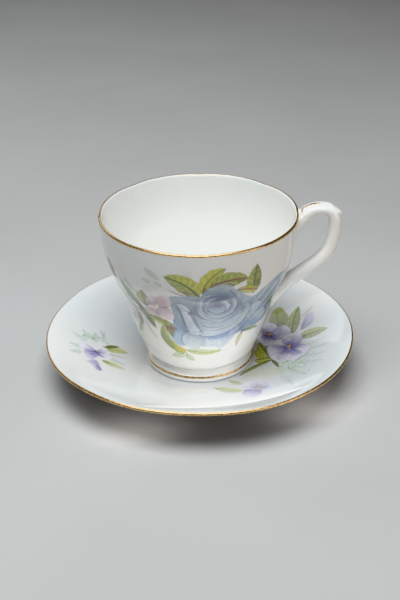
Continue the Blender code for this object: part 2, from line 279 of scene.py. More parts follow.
def make_foot(china):
    outside = CUP_LINE[CUP_LINE[:, 1] <= BOWL_BOTTOM + 0.02]
    widest = outside[-1]
    sole = arc((widest[0] - 0.55, FOOT_BOTTOM + 0.55), 0.55, 0, -90, 8)
    inner = FOOT_RADIUS - 3.6
    inside = [(inner + 0.9, FOOT_BOTTOM), (inner + 0.3, FOOT_BOTTOM + 0.3), (inner, FOOT_BOTTOM + 0.9),
              (inner - 0.6, BOWL_BOTTOM - 0.6), (inner - 1.4, BOWL_BOTTOM)]
    profile = np.concatenate([outside[outside[:, 1] > sole[0][1] + 0.1], sole, inside])
    foot = turned("cup_foot_fine", profile, china, around=256, closed=True)
    foot.data.set_sharp_from_angle(angle=np.radians(50))
    return foot


# The handle's centreline. Each station holds its distance from the bowl as a share of the reach,
# its height as a share of the cup, and its thickness and width as shares of the strap's own.
HANDLE_REACH = 18.2
HANDLE_THICKNESS = 5.2
HANDLE_WIDTH = 8.0
HANDLE_GILT = (44.2, 52.8)
HANDLE_STATIONS = (
    (-0.18, 0.905, 1.85, 1.40), (0.00, 0.938, 1.42, 1.24), (0.15, 0.978, 1.10, 1.10),
    (0.33, 1.008, 0.90, 1.02), (0.55, 1.015, 0.86, 1.00), (0.76, 0.996, 0.98, 1.00),
    (0.88, 0.930, 1.08, 0.98), (0.900, 0.828, 1.06, 0.96), (0.85, 0.738, 1.05, 0.96),
    (0.68, 0.659, 1.05, 0.98), (0.445, 0.594, 1.05, 1.00), (0.22, 0.524, 1.05, 1.04),
    (0.07, 0.445, 0.95, 1.02), (0.015, 0.385, 0.60, 0.80), (0.0, 0.355, 0.30, 0.50),
)
THUMB_REST = ((-7.5, 1.45, 1.0, 2.6), (-5.0, 1.45, 1.55, 3.3), (-2.2, 1.15, 1.85, 3.8),
              (0.2, 0.55, 1.85, 3.7), (2.1, -0.10, 1.50, 3.0), (3.6, -0.75, 1.05, 2.1),
              (4.7, -1.15, 0.60, 1.0))


def handle_line():
    """The centres (x, z) along the handle, and its half thickness and half width at each."""
    out, height, thickness, width = np.array(HANDLE_STATIONS).T
    z = FOOT_BOTTOM + height * (RIM_TOP - FOOT_BOTTOM)
    x = bowl_radius(np.minimum(z, RIM_TOP)) + out * HANDLE_REACH
    stations = np.stack([x, z, thickness * HANDLE_THICKNESS / 2, width * HANDLE_WIDTH / 2], axis=1)
    line = smooth(stations, 8)
    return line[:, :2], line[:, 2:]


def loft(bm, centres, sizes, sides=32, fullness=2.7):
    """A closed bar in the XZ plane, with a rounded section square to its line."""
    along = np.gradient(centres, axis=0)
    along /= np.linalg.norm(along, axis=1)[:, None]
    out = np.stack([-along[:, 1], along[:, 0]], axis=1)
    angles = 2 * np.pi * np.arange(sides) / sides
    cos, sin = np.cos(angles), np.sin(angles)
    cos, sin = (np.sign(v) * np.abs(v) ** (2 / fullness) for v in (cos, sin))
    rings = []
    for centre, side, size in zip(centres, out, sizes):
        spot = centre + np.outer(cos * size[0], side)
        ring = np.stack([spot[:, 0], sin * size[1], spot[:, 1]], axis=1)
        rings.append([bm.verts.new(p * MM) for p in ring])
    for ring, following in zip(rings, rings[1:]):
        for k in range(sides):
            after = (k + 1) % sides
            bm.faces.new((ring[k], ring[after], following[after], following[k]))
    bm.faces.new(rings[0][::-1])
    bm.faces.new(rings[-1])


def make_handle(china):
    """The handle: a strap and its thumb rest melted together, then spread out where they meet the bowl."""
    centres, sizes = handle_line()
    bm = bmesh.new()
    loft(bm, centres, sizes)
    corner = centres[np.argmax(centres.sum(axis=1))]
    rest = smooth(THUMB_REST, 6)
    loft(bm, corner + rest[:, :2], rest[:, 2:], fullness=2.4)
    bmesh.ops.recalc_face_normals(bm, faces=bm.faces)
    mesh = bpy.data.meshes.new("cup_handle_fine")
    bm.to_mesh(mesh)
    bm.free()
    obj = bpy.data.objects.new("cup_handle_fine", mesh)
    bpy.context.scene.collection.objects.link(obj)
    melt = obj.modifiers.new("melt", "REMESH")
    melt.mode = "VOXEL"
    melt.voxel_size = 0.3 * MM
    soften = obj.modifiers.new("soften", "SMOOTH")
    soften.factor = 0.5
    soften.iterations = 12
    apply_modifiers(obj)
    points = vertex_points(obj.data)
    points = spread_at_wall(points)
    obj.data.vertices.foreach_set("co", (points * MM).ravel())
    obj.data.update()
    obj.data.shade_smooth()
    obj.data.materials.append(china)
    return obj


def spread_at_wall(points):
    """Fillets the handle's two roots, and keeps what lies inside the wall from showing in the bowl."""
    radius = np.hypot(points[:, 0], points[:, 1])
    wall = bowl_radius(points[:, 2])
    clear = radius - wall
    centres, _ = handle_line()
    near = np.clip(1 - clear / 2.6, 0, 1) ** 2
    lower = centres[(centres[:, 1] < 60)]
    upper = centres[(centres[:, 1] > 70) & (centres[:, 0] < RIM_RADIUS + 6)]
    root = np.where(points[:, 2:] > 60, upper[:12].mean(axis=0), lower[-60:].mean(axis=0))
    moved = points.copy()
    moved[:, 1] += np.sign(points[:, 1]) * near * 1.1 * np.minimum(np.abs(points[:, 1]) / 3.0, 1)
    moved[:, 2] += np.clip((points[:, 2] - root[:, 1]) / 4.0, -1, 1) * near * 0.7
    top = RIM_TOP - 2.2
    moved[:, 2] = np.where((clear < 0.3) & (moved[:, 2] > top), top + 0.3 * (moved[:, 2] - top), moved[:, 2])
    over = np.maximum(moved[:, 2] - (RIM_TOP - 1.5), 0)
    moved[:, 2] -= 0.92 * over * ramp(1.9 - clear, 0.0, 1.5)
    radius = np.hypot(moved[:, 0], moved[:, 1])
    least = bowl_radius(np.clip(moved[:, 2], BOWL_BOTTOM, RIM_TOP)) - 0.9
    scale = np.maximum(least / np.maximum(radius, 1.0), 1.0)
    moved[:, :2] *= scale[:, None]
    return moved


def apply_modifiers(obj):
    bpy.context.view_layer.update()
    graph = bpy.context.evaluated_depsgraph_get()
    mesh = bpy.data.meshes.new_from_object(obj.evaluated_get(graph))
    obj.modifiers.clear()
    obj.data = mesh


def vertex_points(mesh):
    points = np.empty(len(mesh.vertices) * 3)
    mesh.vertices.foreach_get("co", points)
    return points.reshape(-1, 3) / MM


# ---------------------------------------------------------------- the saucer

def make_saucer(china):
    centre = saucer_edge_centre()
    half = SAUCER_EDGE / 2
    top = SAUCER_LINE[SAUCER_LINE[:, 0] < centre[0]]
    edge = arc(centre, half, 80, -95, 16)
    thickness = SAUCER_THICKNESS + (SAUCER_EDGE - SAUCER_THICKNESS) * ramp(top[:, 0], 50, SAUCER_RADIUS)
    under = offset(top, thickness[:, None])
    foot_out, foot_in = SAUCER_FOOT_RADIUS + 1.2, SAUCER_FOOT_RADIUS - 1.2
    under = under[(under[:, 0] > foot_out + 1.6) & (under[:, 0] < centre[0] - 0.4)][::-1]
    recess = WELL_TOP - SAUCER_THICKNESS
    foot = smooth([under[-1], (foot_out + 0.6, under[-1][1] - 1.2), (foot_out + 0.15, 1.3),
                   (foot_out - 0.1, 0.45), (foot_out - 0.7, 0.0), (foot_in + 0.7, 0.0),
                   (foot_in + 0.1, 0.45), (foot_in - 0.2, recess - 0.9), (foot_in - 1.2, recess),
                   (foot_in - 3.0, recess)], 6)[1:]
    foot[:, 1] = np.maximum(foot[:, 1], 0.0)
    centre_under = [(16.0, recess), (0.0, recess)]
    well = [(0.0, WELL_TOP), (8.0, WELL_TOP), (16.0, WELL_TOP)]
    profile = np.concatenate([well, top, edge, under, foot, centre_under])
    return turned("saucer_fine", profile, china, waved_saucer, around=384)


# ---------------------------------------------------------------- gilding

def band(name, section, gold, rule=as_is, around=384):
    """A closed ring of gilding from its inner and outer lines."""
    return turned(name, section, gold, rule, around=around, closed=True)


def wrapped_edge(centre, half, start, end):
    """A film of even thickness over a rounded edge, from one angle to another."""
    outer = arc(centre, half + FILM, start, end, 20)
    inner = arc(centre, half - FILM, end, start, 20)
    return np.concatenate([outer, inner])


def make_gilding(gold):
    rim = band("cup_rim_gilding_fine", wrapped_edge(lip_centre(), LIP_THICKNESS / 2, 118, -42), gold,
               lobed_rim)
    edge = band("saucer_rim_gilding_fine", wrapped_edge(saucer_edge_centre(), SAUCER_EDGE / 2, 84, -58),
                gold, waved_saucer)
    low, high = FOOT_BOTTOM + 1.65, FOOT_BOTTOM + 2.55
    line = CUP_LINE[(CUP_LINE[:, 1] > low - 0.3) & (CUP_LINE[:, 1] < high + 0.3)]
    line = evenly(line, 0.08)
    line = line[(line[:, 1] > low) & (line[:, 1] < high)]
    foot = band("cup_foot_gilding_fine", np.concatenate([offset(line, -FILM), offset(line, FILM)[::-1]]),
                gold)
    return rim, edge, foot


def make_handle_gilding(handle, gold):
    """A gilt line down the middle of the handle's top, from near the rim."""
    shape = BVHTree.FromPolygons([v.co for v in handle.data.vertices],
                                 [p.vertices for p in handle.data.polygons])
    steps, across = 48, np.linspace(-1, 1, 7)
    upper, lower = [], []
    for k in range(steps + 1):
        x = HANDLE_GILT[0] + (HANDLE_GILT[1] - HANDLE_GILT[0]) * k / steps
        half = 0.8 * np.sin(np.pi * np.clip(k / steps, 0.02, 0.98)) ** 0.5
        for y in across * half:
            spot, *_ = shape.ray_cast(Vector((x, y, 100.0)) * MM, Vector((0, 0, -1)))
            upper.append((x, y, spot.z / MM + FILM))
            lower.append((x, y, spot.z / MM - FILM))
    return add_object("cup_handle_gilding_fine", upper + lower, closed_strip(steps + 1, len(across)), gold)


def closed_strip(rows, columns):
    """Faces for a thin slab whose points are an upper grid and then the same grid below it."""
    total = rows * columns
    faces, rim = [], []
    for r in range(rows - 1):
        for c in range(columns - 1):
            a = r * columns + c
            quad = (a, a + columns, a + columns + 1, a + 1)
            faces.append(quad)
            faces.append(tuple(i + total for i in quad[::-1]))
    rim += [r * columns for r in range(rows - 1)]
    rim += [(rows - 1) * columns + c for c in range(columns - 1)]
    rim += [r * columns + columns - 1 for r in range(rows - 1, 0, -1)]
    rim += list(range(columns - 1, 0, -1))
    for a, b in zip(rim, rim[1:] + rim[:1]):
        faces.append((a, a + total, b + total, b))
    return faces


# ---------------------------------------------------------------- painting

CANVAS_RADIUS = 36.0
GRID = 0.2


def pigment(red, green, blue):
    """A paint colour from 0-255 screen values, as linear light."""
    value = np.array([red, green, blue]) / 255
    return np.where(value <= 0.04045, value / 12.92, ((value + 0.055) / 1.055) ** 2.4)


def mottle(u, v, size, seed):
    """Smooth noise, about -1 to 1, in spots of about this size."""
    chance = np.random.default_rng(seed)
    total = np.zeros_like(u)
    for _ in range(5):
        angle, phase = chance.uniform(0, 2 * np.pi, 2)
        pitch = 2 * np.pi / (size * chance.uniform(0.8, 2.4))
        total += np.sin((u * np.cos(angle) + v * np.sin(angle)) * pitch + phase)
    return np.clip(total / 3, -1, 1)


def to_line(u, v, line):
    """Distance to a line, the share of its length at the nearest place, and +1 on its left side."""
    start, along = line[:-1], np.diff(line, axis=0)
    squared = np.maximum((along**2).sum(axis=1), 1e-9)
    du, dv = u[:, None] - start[:, 0], v[:, None] - start[:, 1]
    t = np.clip((du * along[:, 0] + dv * along[:, 1]) / squared, 0, 1)
    away = (du - t * along[:, 0]) ** 2 + (dv - t * along[:, 1]) ** 2
    nearest = away.argmin(axis=1)
    row = np.arange(len(u))
    lengths = np.concatenate([[0.0], np.cumsum(np.sqrt(squared))])
    share = (lengths[nearest] + t[row, nearest] * np.sqrt(squared[nearest])) / lengths[-1]
    left = along[nearest, 0] * dv[row, nearest] - along[nearest, 1] * du[row, nearest]
    return np.sqrt(away[row, nearest]), share, np.sign(left)


def depth_in(u, v, outline):
    """How far inside a closed outline each point lies, and below zero outside it."""
    closed = np.concatenate([outline, outline[:1]])
    distance, _, _ = to_line(u, v, closed)
    a, b = closed[:-1], closed[1:]
    crosses = (a[:, 1] > v[:, None]) != (b[:, 1] > v[:, None])
    rise = np.where(b[:, 1] == a[:, 1], 1.0, b[:, 1] - a[:, 1])
    at = a[:, 0] + (v[:, None] - a[:, 1]) * (b[:, 0] - a[:, 0]) / rise
    inside = ((u[:, None] < at) & crosses).sum(axis=1) % 2 == 1
    return np.where(inside, distance, -distance)


class Sheet:
    """A print's grid of canvas points (u, v), with the paint on each and how far it covers the china.

    `at` turns places named in a drawing into canvas points.
    """

    def __init__(self, low, high, at):
        self.u_line = np.arange(low[0], high[0], GRID)
        self.v_line = np.arange(low[1], high[1], GRID)
        self.u, self.v = (grid.ravel() for grid in np.meshgrid(self.u_line, self.v_line, indexing="ij"))
        self.at = at
        self.paint = np.tile(pigment(190, 196, 200), (self.u.size, 1))
        self.cover = np.zeros(self.u.size)

    def near(self, line, margin):
        (u0, v0), (u1, v1) = line.min(axis=0) - margin, line.max(axis=0) + margin
        where = np.flatnonzero((self.u > u0) & (self.u < u1) & (self.v > v0) & (self.v < v1))
        return where, self.u[where], self.v[where]

    def lay(self, where, amount, colour):
        """Lays paint over what is there."""
        amount = np.clip(amount, 0, 1)
        cover = self.cover[where]
        total = cover + amount - cover * amount
        share = amount / np.maximum(total, 1e-6)
        self.paint[where] += (colour - self.paint[where]) * share[:, None]
        self.cover[where] = total

    def tint(self, where, amount, colour):
        """Tints what is painted already, and leaves bare china bare."""
        self.paint[where] += (colour - self.paint[where]) * np.clip(amount, 0, 1)[:, None]


SHADE = pigment(96, 98, 128)
RIM = pigment(208, 218, 226)


def petal(sheet, outline, light, dark, lit, rim=0.7, strength=0.95, shadow=0.4, soft=0.25, folds=0.0,
          seed=1):
    """A petal, from dark at its shaded side to light at the side that faces `lit`, in degrees.

    Folds are faint lines that run with its edge.
    """
    edge = smooth(sheet.at(outline), 5, closed=True)
    where, u, v = sheet.near(edge, 1.8)
    depth = depth_in(u, v, edge) + 0.10 * mottle(u, v, 1.4, seed + 2)
    sheet.tint(where, shadow * ramp(depth, -1.5, 0.1), SHADE)
    c, s = np.cos(np.radians(lit)), np.sin(np.radians(lit))
    reach = edge @ [c, s]
    along = u * c + v * s
    g = (along - reach.min()) / np.ptp(reach) + 0.12 * mottle(u, v, 3.0, seed)
    g += 0.09 * mottle((v * c - u * s) * 1.0, along * 0.2, 0.6, seed + 1)
    bend = 2.6 * mottle(u, v, 5.0, seed + 3)
    g += folds * np.sin(depth * 5.2 + bend) * ramp(depth, 0.1, 1.0)
    g = ramp(np.clip(g, 0, 1), 0.04, 0.96)
    colour = dark + (light - dark) * g[:, None]
    pale = ramp(rim - depth, 0, rim) * ramp(g, 0.25, 0.9) * (0.5 + 0.35 * mottle(u, v, 2.0, seed + 4))
    colour = colour + (RIM - colour) * np.clip(pale, 0, 1)[:, None]
    sheet.lay(where, strength * ramp(depth, -soft, soft), colour)


def leaf(sheet, base, tip, width, bend, light, dark, ridge, strength=0.95, veins=6, fade=0.0, seed=2):
    """A leaf about a bent midrib. Its left side, going to the tip, is the light one if width > 0."""
    base, tip = sheet.at([base, tip])
    side = np.array([base[1] - tip[1], tip[0] - base[0]]) / np.linalg.norm(tip - base)
    t = np.linspace(0, 1, 25)[:, None]
    line = (1 - t) ** 2 * base + 2 * t * (1 - t) * ((base + tip) / 2 + 2 * bend * side) + t**2 * tip
    where, u, v = sheet.near(line, abs(width) / 2 + 0.6)
    distance, share, left = to_line(u, v, line)
    half = abs(width) / 2 * np.sin(np.pi * np.clip(share, 0.01, 0.99) ** 0.82) ** 0.66
    half *= 1 + 0.07 * mottle(share * 14, left, 2.0, seed) + 0.02 * np.sin(share * veins * 2 * np.pi)
    depth = half - distance
    across = distance / np.maximum(half, 0.05)
    g = 0.5 + 0.30 * left * np.sign(width) + 0.34 * mottle(u, v, 1.8, seed) + 0.15 * across
    colour = dark + (light - dark) * np.clip(g, 0, 1)[:, None]
    wave = np.abs((share * veins - 0.7 * across + 0.2 * mottle(u, v, 2.0, seed + 1)) % 1 - 0.5) * 2
    line_cover = ramp(wave, 0.62, 1.0) * ramp(across, 0.0, 0.25) * ramp(1 - across, 0.0, 0.2) * 0.62
    glow = ramp(0.55 - wave, 0.0, 0.5) * ramp(across, 0.2, 0.5) * ramp(1 - across, 0.1, 0.4) * 0.42
    rib = ramp(0.22 + 0.16 * (1 - share) - distance, -0.15, 0.12) * 0.85
    rim = ramp(0.55 - depth, 0, 0.55) * 0.5
    dark_rim = rim * (left * np.sign(width) < 0) + 0.45 * rim
    bright = light + 0.16 * (pigment(222, 222, 130) - light)
    for amount, tone in ((glow, bright), (line_cover, dark * 0.8), (rib, ridge), (dark_rim, ridge)):
        colour = colour + (tone - colour) * np.clip(amount, 0, 1)[:, None]
    strength = strength * (1 - fade * share)
    sheet.lay(where, strength * ramp(depth, -0.18, 0.18), colour)


def stroke(sheet, places, width, colour, strength=0.8, soft=0.14):
    """A brush stroke, thin at both ends."""
    line = smooth(sheet.at(places), 6)
    where, u, v = sheet.near(line, width + soft)
    distance, share, _ = to_line(u, v, line)
    half = width / 2 * np.sin(np.pi * np.clip(share, 0.03, 0.97)) ** 0.6
    sheet.lay(where, strength * ramp(half - distance, -soft, soft), colour)


def wash(sheet, centre, size, turn, colour, strength, seed=5):
    """A soft, uneven patch of thin paint: an ellipse of these half axes, turned by this many degrees."""
    middle = sheet.at([centre])
    where, u, v = sheet.near(middle, max(size) * 1.2)
    c, s = np.cos(np.radians(turn)), np.sin(np.radians(turn))
    du, dv = u - middle[0, 0], v - middle[0, 1]
    radius = np.hypot((du * c + dv * s) / size[0], (dv * c - du * s) / size[1])
    amount = ramp(1 - radius + 0.25 * mottle(u, v, 2.4, seed), 0.0, 0.7)
    sheet.lay(where, strength * amount, colour)


def fern(sheet, base, tip, size, colour, strength=0.5, seed=7):
    """A faint feathery frond: pairs of short strokes that shrink towards its tip."""
    base, tip = (sheet.at([p])[0] for p in (base, tip))
    chance = np.random.default_rng(seed)
    along = tip - base
    side = np.array([-along[1], along[0]]) / np.linalg.norm(along)
    stroke_on(sheet, np.stack([base, (base + tip) / 2 + side * size * 0.15, tip]), 0.3, colour, strength)
    for k in range(7):
        share = (k + 1) / 8
        root = base + along * share + side * size * 0.15 * 4 * share * (1 - share) * 0.5
        for hand in (-1, 1):
            reach = size * (1.1 - share) * chance.uniform(0.7, 1.2)
            end = root + side * hand * reach + along / np.linalg.norm(along) * reach * 0.8
            stroke_on(sheet, np.stack([root, (root + end) / 2 + along * 0.02, end]), 0.55, colour,
                      strength * 0.8)


def stroke_on(sheet, line, width, colour, strength):
    """A stroke whose points are on the canvas already."""
    where, u, v = sheet.near(line, width + 0.3)
    distance, share, _ = to_line(u, v, smooth(line, 5))
    half = width / 2 * np.sin(np.pi * np.clip(share, 0.05, 0.95)) ** 0.6
    sheet.lay(where, strength * ramp(half - distance, -0.16, 0.16), colour)


# ---------------------------------------------------------------- the sprays

ROSE_PALE = pigment(198, 208, 216)
ROSE_LIGHT = pigment(178, 192, 203)
ROSE = pigment(148, 165, 180)
ROSE_SHADE = pigment(114, 129, 150)
ROSE_DEEP = pigment(112, 142, 180)
ROSE_SEAM = pigment(96, 92, 128)
LEAF_YELLOW = pigment(198, 198, 92)
LEAF_LIGHT = pigment(172, 178, 94)
LEAF = pigment(122, 138, 72)
LEAF_DARK = pigment(84, 92, 46)
LEAF_BLUE = pigment(128, 152, 126)
LEAF_BROWN = pigment(134, 92, 84)
PALE_GREEN = pigment(182, 198, 160)
GHOST = pigment(168, 178, 166)
PINK_SHADE = pigment(150, 118, 132)
LILAC = pigment(198, 193, 218)
LILAC_PALE = pigment(225, 222, 234)
LILAC_SHADE = pigment(142, 139, 182)
VIOLET = pigment(88, 78, 140)
YELLOW = pigment(226, 190, 60)
ORANGE = pigment(206, 120, 70)


def paint_rose_behind(s):
    """The half-turned rose behind the big one's right side: long folds that sweep up to the right."""
    petal(s, [(-57.5, 52), (-53.5, 54), (-48, 56.5), (-42.5, 58), (-35.5, 59.5), (-25, 59), (-19, 55),
              (-20, 45), (-26, 36), (-38, 34), (-48.5, 35), (-57, 40)], ROSE, ROSE_SHADE, 80, soft=0.5,
              folds=0.12, seed=11)
    folds = (((-53.5, 40), (-47, 49), (-37, 58.5), 2.0, ROSE_SEAM),
             ((-50, 38.5), (-43, 48), (-31, 58.5), 1.6, RIM), ((-46.5, 37.5), (-39, 47), (-27, 57), 1.7,
                                                               ROSE_SEAM),
                                                               ((-43, 37), (-36, 45), (-24, 55), 1.4, RIM),
             ((-39, 36.5), (-33, 43), (-22, 51), 1.5, ROSE_SEAM),
             ((-54.5, 44), (-50, 51), (-43, 57), 1.4, RIM), ((-35, 36), (-29, 41), (-21, 46), 1.3, RIM),
             ((-56, 47), (-52, 52), (-47, 55.5), 1.0, ROSE_SEAM))
    for start, middle, end, width, colour in folds:
        stroke(s, [start, middle, end], width, colour, 0.36 if colour is ROSE_SEAM else 0.5, 0.5)
        stroke(s, [(start[0] + 1.4, start[1]), (middle[0] + 1.6, middle[1] - 1),
                   (end[0] + 2, end[1] - 1.5)], 0.4,
               ROSE_SHADE, 0.5)
    petal(s, [(-35, 57.5), (-28, 59.6), (-21.5, 58), (-18.6, 52.5), (-20, 46.5), (-24, 45.5), (-27, 50),
              (-31, 54)],
          ROSE_PALE, ROSE_SHADE, 40, soft=0.4, folds=0.1, seed=12)
    petal(s, [(-35, 36), (-27.5, 34.8), (-21.5, 39), (-19.8, 46), (-23, 49.5), (-27, 46), (-31, 41.5)],
          ROSE_LIGHT, ROSE_DEEP, 330, soft=0.4, folds=0.1, seed=13)
    wash(s, (-41, 44), (2.2, 1.5), 30, pigment(190, 178, 192), 0.65, 31)
    wash(s, (-40, 41.5), (0.9, 0.7), 30, PINK_SHADE, 0.7, 32)
    wash(s, (-51.5, 47), (1.3, 2.6), 340, ROSE_SEAM, 0.6, 33)
    wash(s, (-43, 49), (1.6, 1.6), 0, ROSE_SHADE, 0.5, 34)


ROSE_PETALS = (
    # the outer petals: outline, light, dark, lit from, rim, shadow
    ([(-73, 62), (-67.5, 59.5), (-60, 55.5), (-51.5, 51.5), (-51.5, 47), (-58, 43), (-64, 46), (-68, 54),
      (-71.5, 58.5)], ROSE, ROSE_SHADE, 60, 0.6, 0.4),
    ([(-108, 57), (-101.5, 58), (-95, 58), (-89.5, 57), (-87.5, 51.5), (-91.5, 47), (-96.5, 48),
      (-101.5, 49), (-107, 48.5), (-108.5, 53)], ROSE, ROSE_SHADE, 130, 0.6, 0.4),
    ([(-90, 56), (-86.5, 60.5), (-82.5, 62.5), (-78, 63.4), (-72.5, 62.6), (-68, 59.5), (-64, 54.5),
      (-65, 50), (-72, 50), (-79.5, 52), (-88, 51)], ROSE_LIGHT, ROSE, 85, 0.6, 0.4),
    ([(-59, 35), (-52.5, 38.5), (-45.5, 41.5), (-38, 42.5), (-31, 38), (-36, 34.5), (-45.5, 33),
      (-53, 32.5)],
     ROSE_LIGHT, ROSE_DEEP, 60, 0.6, 0.4),
    ([(-65, 39), (-60, 44), (-55, 47.5), (-49, 49), (-43.5, 46), (-46.5, 41.5), (-52, 38), (-58, 33.5),
      (-64, 33)],
     ROSE_LIGHT, ROSE_SHADE, 70, 0.6, 0.45),
    ([(-90, 35.5), (-83.5, 37), (-74.5, 38.5), (-66.5, 41), (-60, 43.5), (-56, 39.5), (-59, 34.5),
      (-63.5, 30.5), (-68, 27.5), (-73, 25.2), (-77, 27.2), (-82, 27.4), (-88, 28), (-90.5, 31)],
     ROSE_PALE, ROSE_DEEP, 268, 1.1, 0.4),
    ([(-107.5, 45), (-104, 43.5), (-101, 39), (-97.5, 36), (-99.5, 30.5), (-102.5, 28), (-107.5, 28.5),
      (-112.5, 32), (-110.5, 38)], pigment(160, 184, 206), ROSE_DEEP, 215, 0.9, 0.4),
    ([(-107, 51), (-102, 53), (-100, 48.5), (-99, 42), (-97.5, 36.5), (-101.5, 36.5), (-105.5, 40),
      (-108, 45)],
     ROSE, ROSE_SHADE, 170, 0.5, 0.4),
    ([(-101.5, 35), (-96, 37.5), (-90.5, 36.8), (-87, 32), (-88.5, 28), (-94.5, 26.3), (-101, 28),
      (-103.5, 31.5)],
     ROSE_PALE, ROSE, 240, 1.0, 0.45),
    ([(-97, 50.5), (-92.5, 47), (-85, 44), (-76.5, 43), (-68, 44), (-62.5, 48), (-58.5, 51), (-54.2, 46.5),
      (-55.5, 41), (-61, 37.5), (-69.5, 35.3), (-79, 34.2), (-86.5, 34.3), (-91.5, 36), (-94.5, 41)],
     ROSE_LIGHT, ROSE, 285, 0.9, 0.6),
    ([(-104, 53), (-99.5, 52.8), (-96, 49.5), (-93.8, 43.5), (-91.2, 39.5), (-88.6, 36), (-93, 34.8),
      (-98.7, 35.8), (-100.3, 41), (-101.5, 47.5)], ROSE_PALE, ROSE, 20, 0.8, 0.55),
    ([(-93.5, 52), (-89, 47.5), (-83, 45), (-75, 44.5), (-68.5, 46.5), (-63.5, 52), (-60, 46.5), (-62, 41.5),
      (-69, 38.3), (-80.5, 37.5), (-88, 39), (-92.5, 44.5)], ROSE_LIGHT, ROSE_SHADE, 280, 0.9, 0.4),
    # the heart's petals, each inside the last
    ([(-91, 51), (-90.5, 56), (-87, 60), (-82, 61), (-76, 60.5), (-70, 58), (-65, 53), (-63.8, 48),
      (-67.5, 43.8), (-75, 42.2), (-84, 43.3), (-89.5, 46.8)], ROSE_LIGHT, ROSE, 230, 0.7, 0.35),
    ([(-89.5, 52), (-88.5, 57), (-84, 58.6), (-77, 58.8), (-71, 56.8), (-66.5, 52.5), (-65.3, 48.5),
      (-69, 45.5), (-76, 44.2), (-83.5, 45.4), (-88.3, 48.5)], ROSE_LIGHT, ROSE_SHADE, 215, 0.7, 0.4),
    ([(-86.2, 47), (-80, 45), (-72.5, 45.2), (-67.5, 48), (-66.2, 52.6), (-69.5, 55.4), (-70, 50.6),
      (-74, 47.5), (-80, 47.3), (-85, 49.6)], ROSE_PALE, ROSE, 300, 0.5, 0.35),
    ([(-87.5, 52), (-86.5, 55.5), (-83, 57.2), (-78.5, 57.2), (-73, 55.5), (-69.3, 51.5), (-70, 48),
      (-74, 46.3), (-81, 46.7), (-86, 49.2)], ROSE, ROSE_SHADE, 250, 0.5, 0.5),
    ([(-87, 49.5), (-86.8, 54), (-83, 56.6), (-79.5, 56.4), (-83.2, 53.8), (-84.3, 50.6)], ROSE_LIGHT, ROSE,
     150, 0.4, 0.3),
    ([(-84.5, 51.5), (-83.5, 54), (-80.5, 55.5), (-76.5, 55.3), (-72.3, 52.5), (-72.6, 49.6), (-77, 48.2),
      (-82.6, 49.2)], ROSE_LIGHT, ROSE_SHADE, 265, 0.45, 0.5),
    ([(-72.5, 48.5), (-70.8, 51.5), (-73.5, 54.2), (-77.5, 55.4), (-76, 53.6), (-73.6, 51.6)], ROSE_PALE,
     ROSE, 20, 0.3, 0.3),
    ([(-82.5, 51.5), (-80.5, 53.8), (-77, 53.6), (-74.6, 51.6), (-76, 50), (-80.5, 49.8)], ROSE, ROSE_SEAM,
     270, 0.35, 0.45),
)


def paint_rose(s):
    """The big rose, from its outer petals to its heart."""
    for k, (outline, light, dark, lit, rim, shadow) in enumerate(ROSE_PETALS):
        petal(s, outline, light, dark, lit, rim=rim, strength=0.86 if k < 3 else 0.95, shadow=shadow,
              soft=0.65 if k < 3 else 0.36, folds=0.12, seed=200 + 7 * k)
        if k == 5:
            stroke(s, [(-89, 34.6), (-81, 33.2), (-72, 33.6), (-63, 37.2)], 2.8, ROSE_DEEP, 0.7, 1.0)
            stroke(s, [(-86, 31.5), (-79, 29.8), (-71, 29.5)], 1.6, ROSE_PALE, 0.5, 0.8)
            stroke(s, [(-88, 36.2), (-80, 35.6), (-71, 36.6), (-63, 39.6)], 0.6, RIM, 0.55, 0.25)
    seams = (([(-103.5, 52.5), (-101.8, 47), (-100.8, 41.5), (-98.3, 36.8)], 0.9),
             ([(-96.2, 50), (-94.8, 45), (-92.2, 40.5), (-89.1, 36.8)], 1.1),
             ([(-87.4, 49), (-87, 52), (-85.6, 54.4)], 1.0), ([(-66.4, 47), (-65, 50), (-66, 53)], 0.7),
             ([(-84, 57.4), (-78, 58), (-72.4, 56.2)], 0.45),
             ([(-91.4, 47.6), (-87, 44.6), (-80.5, 43)], 0.5), ([(-73, 60.5), (-69.5, 57.6), (-66.5, 54)],
                                                                0.6), ([(-64, 46.5), (-67.5, 43.6), (-73.5,
                                                                                                     42.2)],
                                                                                                     0.6),
             ([(-88.5, 40.5), (-81, 38.6), (-72, 39)], 0.5), ([(-101, 50.5), (-96.5, 48.6), (-92.4, 47.4)],
                                                              0.5))
    for places, width in seams:
        stroke(s, places, width, ROSE_SEAM, 0.62, 0.32)
    ridges = ([(-102.4, 52), (-100.6, 47), (-99.4, 42), (-96.6, 37)],
              [(-94, 46.2), (-85, 42.9), (-76, 42), (-66.5, 43.4)], [(-87.5, 37.4), (-79, 36.2), (-69, 37),
                                                                     (-61, 40)], [(-82.8, 49), (-77.4,
                                                                                                47.8),
                                                                                                (-72.6,
                                                                                                 48.8)],
              [(-59.5, 42.5), (-54.5, 46), (-49, 47.5)], [(-56.5, 38), (-50, 41.5), (-44, 43.5)])
    for places in ridges:
        stroke(s, places, 0.45, RIM, 0.55, 0.22)
    for centre, size, turn, strength in (((-96.2, 48.2), (1.4, 1.9), 0, 0.65),
                                         ((-89.6, 36.8), (1.7, 1.1), 20, 0.65), ((-98.8, 36.8), (1.4, 1.0),
                                                                                 40, 0.55), ((-78.4, 51.8),
                                                                                             (1.9, 1.1), 0,
                                                                                             0.85),
                                         ((-91, 53), (1.4, 2.0), 0, 0.3), ((-60, 48), (1.2, 2.2), 330, 0.4)):
        wash(s, centre, size, turn, ROSE_SEAM, strength, 36)


